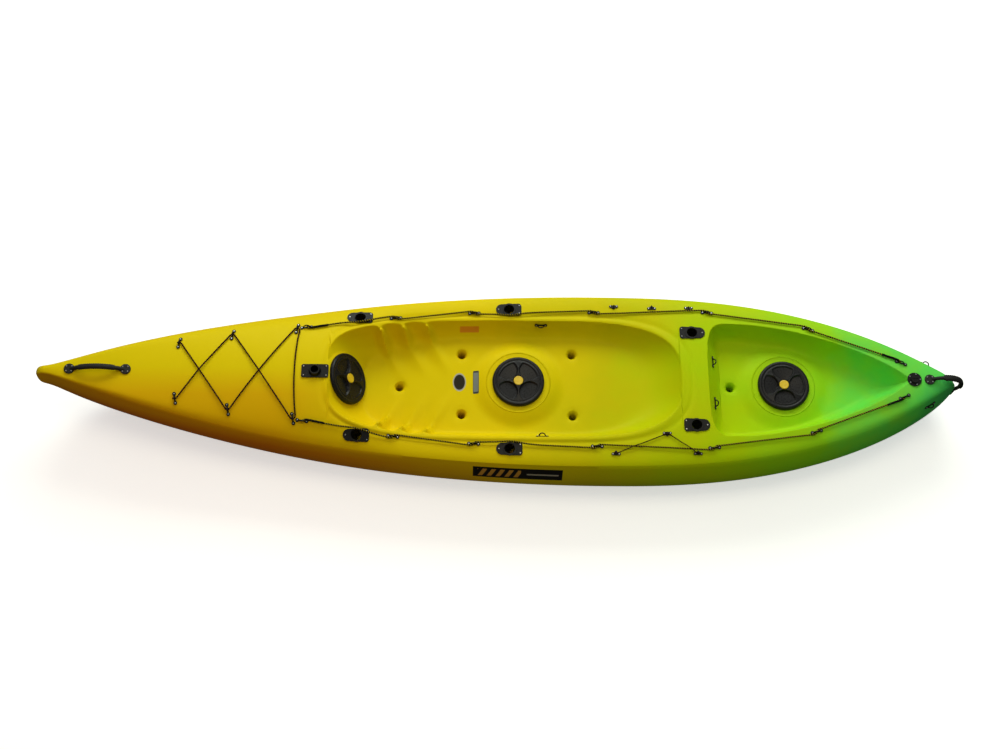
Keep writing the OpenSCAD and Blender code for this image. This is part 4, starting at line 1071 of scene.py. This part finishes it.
# ---------------------------------------------------------------- scene
def area_light(name, place, target, size, power, colour):
    """A soft rectangular lamp that faces its target."""
    data = bpy.data.lights.new(name, "AREA")
    data.shape, data.size, data.size_y = "RECTANGLE", *size
    data.energy, data.color = power, colour
    lamp = bpy.data.objects.new(name, data)
    bpy.context.scene.collection.objects.link(lamp)
    lamp.location = place
    lamp.rotation_euler = (Vector(target) - Vector(place)).to_track_quat("-Z", "Y").to_euler()


SKY_TURN = (0.0, 0.6, 0.8)
WARM, COOL = (1.0, 0.38, 0.06), (0.45, 1.0, 0.35)
SKY_LEVELS = (("From Min", -0.1), ("From Max", 1.0), ("To Min", 0.03), ("To Max", 0.42))
FLOOR_HALF = 14000.0
# name, place, target, size, power in watts, colour
LAMPS = (("key", (0.2, 4.0, 3.2), (0, 0, 0.2), (5.5, 2.0), 172, (0.93, 1.0, 0.90)),
         ("overhead", (0.0, 1.0, 7.0), (0, 0, 0.2), (5.0, 2.5), 84, (1.0, 0.90, 0.66)),
         ("bow_fill", (-1.5, -2.6, 1.3), (-1.0, 0, 0.2), (2.2, 1.0), 9, WARM),
         ("stern_fill", (1.7, -2.4, 1.3), (1.2, 0, 0.2), (1.6, 1.0), 5, COOL))


def make_sky():
    """A soft white studio, brightest high on the starboard side and dim low on the port side."""
    world = bpy.data.worlds.new("studio")
    world.use_nodes = True
    tree = world.node_tree
    back = tree.nodes["Background"]
    place = tree.nodes.new("ShaderNodeTexCoord")
    facing = tree.nodes.new("ShaderNodeVectorMath")
    facing.operation = "DOT_PRODUCT"
    facing.inputs[1].default_value = SKY_TURN
    level = tree.nodes.new("ShaderNodeMapRange")
    for key, value in SKY_LEVELS:
        level.inputs[key].default_value = value
    tree.links.new(place.outputs["Generated"], facing.inputs[0])
    tree.links.new(facing.outputs["Value"], level.inputs["Value"])
    seen = tree.nodes.new("ShaderNodeLightPath").outputs["Is Camera Ray"]
    brightest = tree.nodes.new("ShaderNodeMath")
    brightest.operation = "MAXIMUM"
    tree.links.new(level.outputs["Result"], brightest.inputs[0])
    tree.links.new(seen, brightest.inputs[1])
    tree.links.new(brightest.outputs["Value"], back.inputs["Strength"])
    back.inputs["Color"].default_value = (1, 1, 1, 1)
    bpy.context.scene.world = world
    bpy.context.scene.view_settings.view_transform = "Standard"


def make_stage():
    """A wide plain floor, the sky and the lamps."""
    corners = [(FLOOR_HALF * x, FLOOR_HALF * y, 0) for x, y in ((-1, -1), (1, -1), (1, 1), (-1, 1))]
    floor = link("studio_floor", mesh_from("studio_floor", corners, [[0, 1, 2, 3]]))
    floor.data.materials.append(floor_material())
    floor.visible_diffuse = False
    floor.visible_glossy = False
    make_sky()
    for lamp in LAMPS:
        area_light(*lamp)


make_camera()
make_stage()

hull = make_hull()
shade(hull, 38)
dress(hull, hull_material())
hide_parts("hull_shell")

nylon = black_plastic("black_fittings", 0.0035, 0.42)
lid_plastic = black_plastic("lid_plastic", 0.007, 0.3, 1100.0)
grip = rubber("handle_rubber")
seal = rubber("seal_rubber")
steel = stainless()
yellow = yellow_plastic()

# lids and their buttons
for key, hatch, turn in (("centre", CENTRE_HATCH, 0), ("front", FRONT_HATCH, 0), ("rear", REAR_HATCH, 45)):
    lid = dress(make_lid(f"{key}_lid_moulding", hatch, turn), lid_plastic, f"{key}_lid")
    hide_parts(f"{key}_hatch_lid")
    button = dress(make_button(f"{key}_lid_button", hatch), yellow, f"{key}_lid")
    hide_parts(f"{key}_hatch_button")

# cords, each with its own braid
line_look = braid("deck_line", (0.004, 0.004, 0.004), (0.50, 0.38, 0.02), 0.42, 3, 1500.0, 0.010)
whipping_look = braid("whipping_twine", (0.004, 0.004, 0.004), (0.02, 0.018, 0.01), 0.4, 1, 3000.0, 0.02)
shock_look = braid("shock_cord", (0.014, 0.006, 0.005), (0.12, 0.02, 0.01), 0.4, 4, 2200.0, 0.014)
for name, side in (("port", -1), ("starboard", 1)):
    route = deck_line_route(side)
    line = dress(tube(f"deck_line_braid_{name}", route, LINE_LOOK_RADIUS), line_look)
    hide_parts(f"deck_line_{name}")
    for end, spots in (("fore", whipped(route, 92.0)), ("aft", whipped(route[::-1], 88.0))):
        dress(tube(f"whipping_{end}_{name}", spots, WHIPPING_RADIUS), whipping_look)
shock = dress(tube("bow_shock_braid", shock_route(), SHOCK_LOOK_RADIUS), shock_look)
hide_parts("bow_shock_cord")
keeper = dress(tube("paddle_keeper_braid", keeper_route(), KEEPER_RADIUS), shock_look)
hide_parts("paddle_keeper_cord")

for end, piece in (("bow", make_bow_handle()), ("stern", make_stern_handle())):
    shade(piece, 40)
    dress(piece, grip)
    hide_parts(f"{end}_handle")

# the CAD's own pieces that stay, by their slots
KEPT_LOOKS = {"stainless_screws": steel, "black_fittings": nylon, "seal_rubber": seal, "handle_rubber": grip,
              "bung_plastic": nylon, "lid_plastic": lid_plastic}
slots = {part["node"]: part["material_slot"] for part in frame["record"]["subparts"]}
for name, node in nodes.items():
    if slots[name] in KEPT_LOOKS:
        node.data.materials.clear()
        node.data.materials.append(KEPT_LOOKS[slots[name]])
        shade(node, 30)
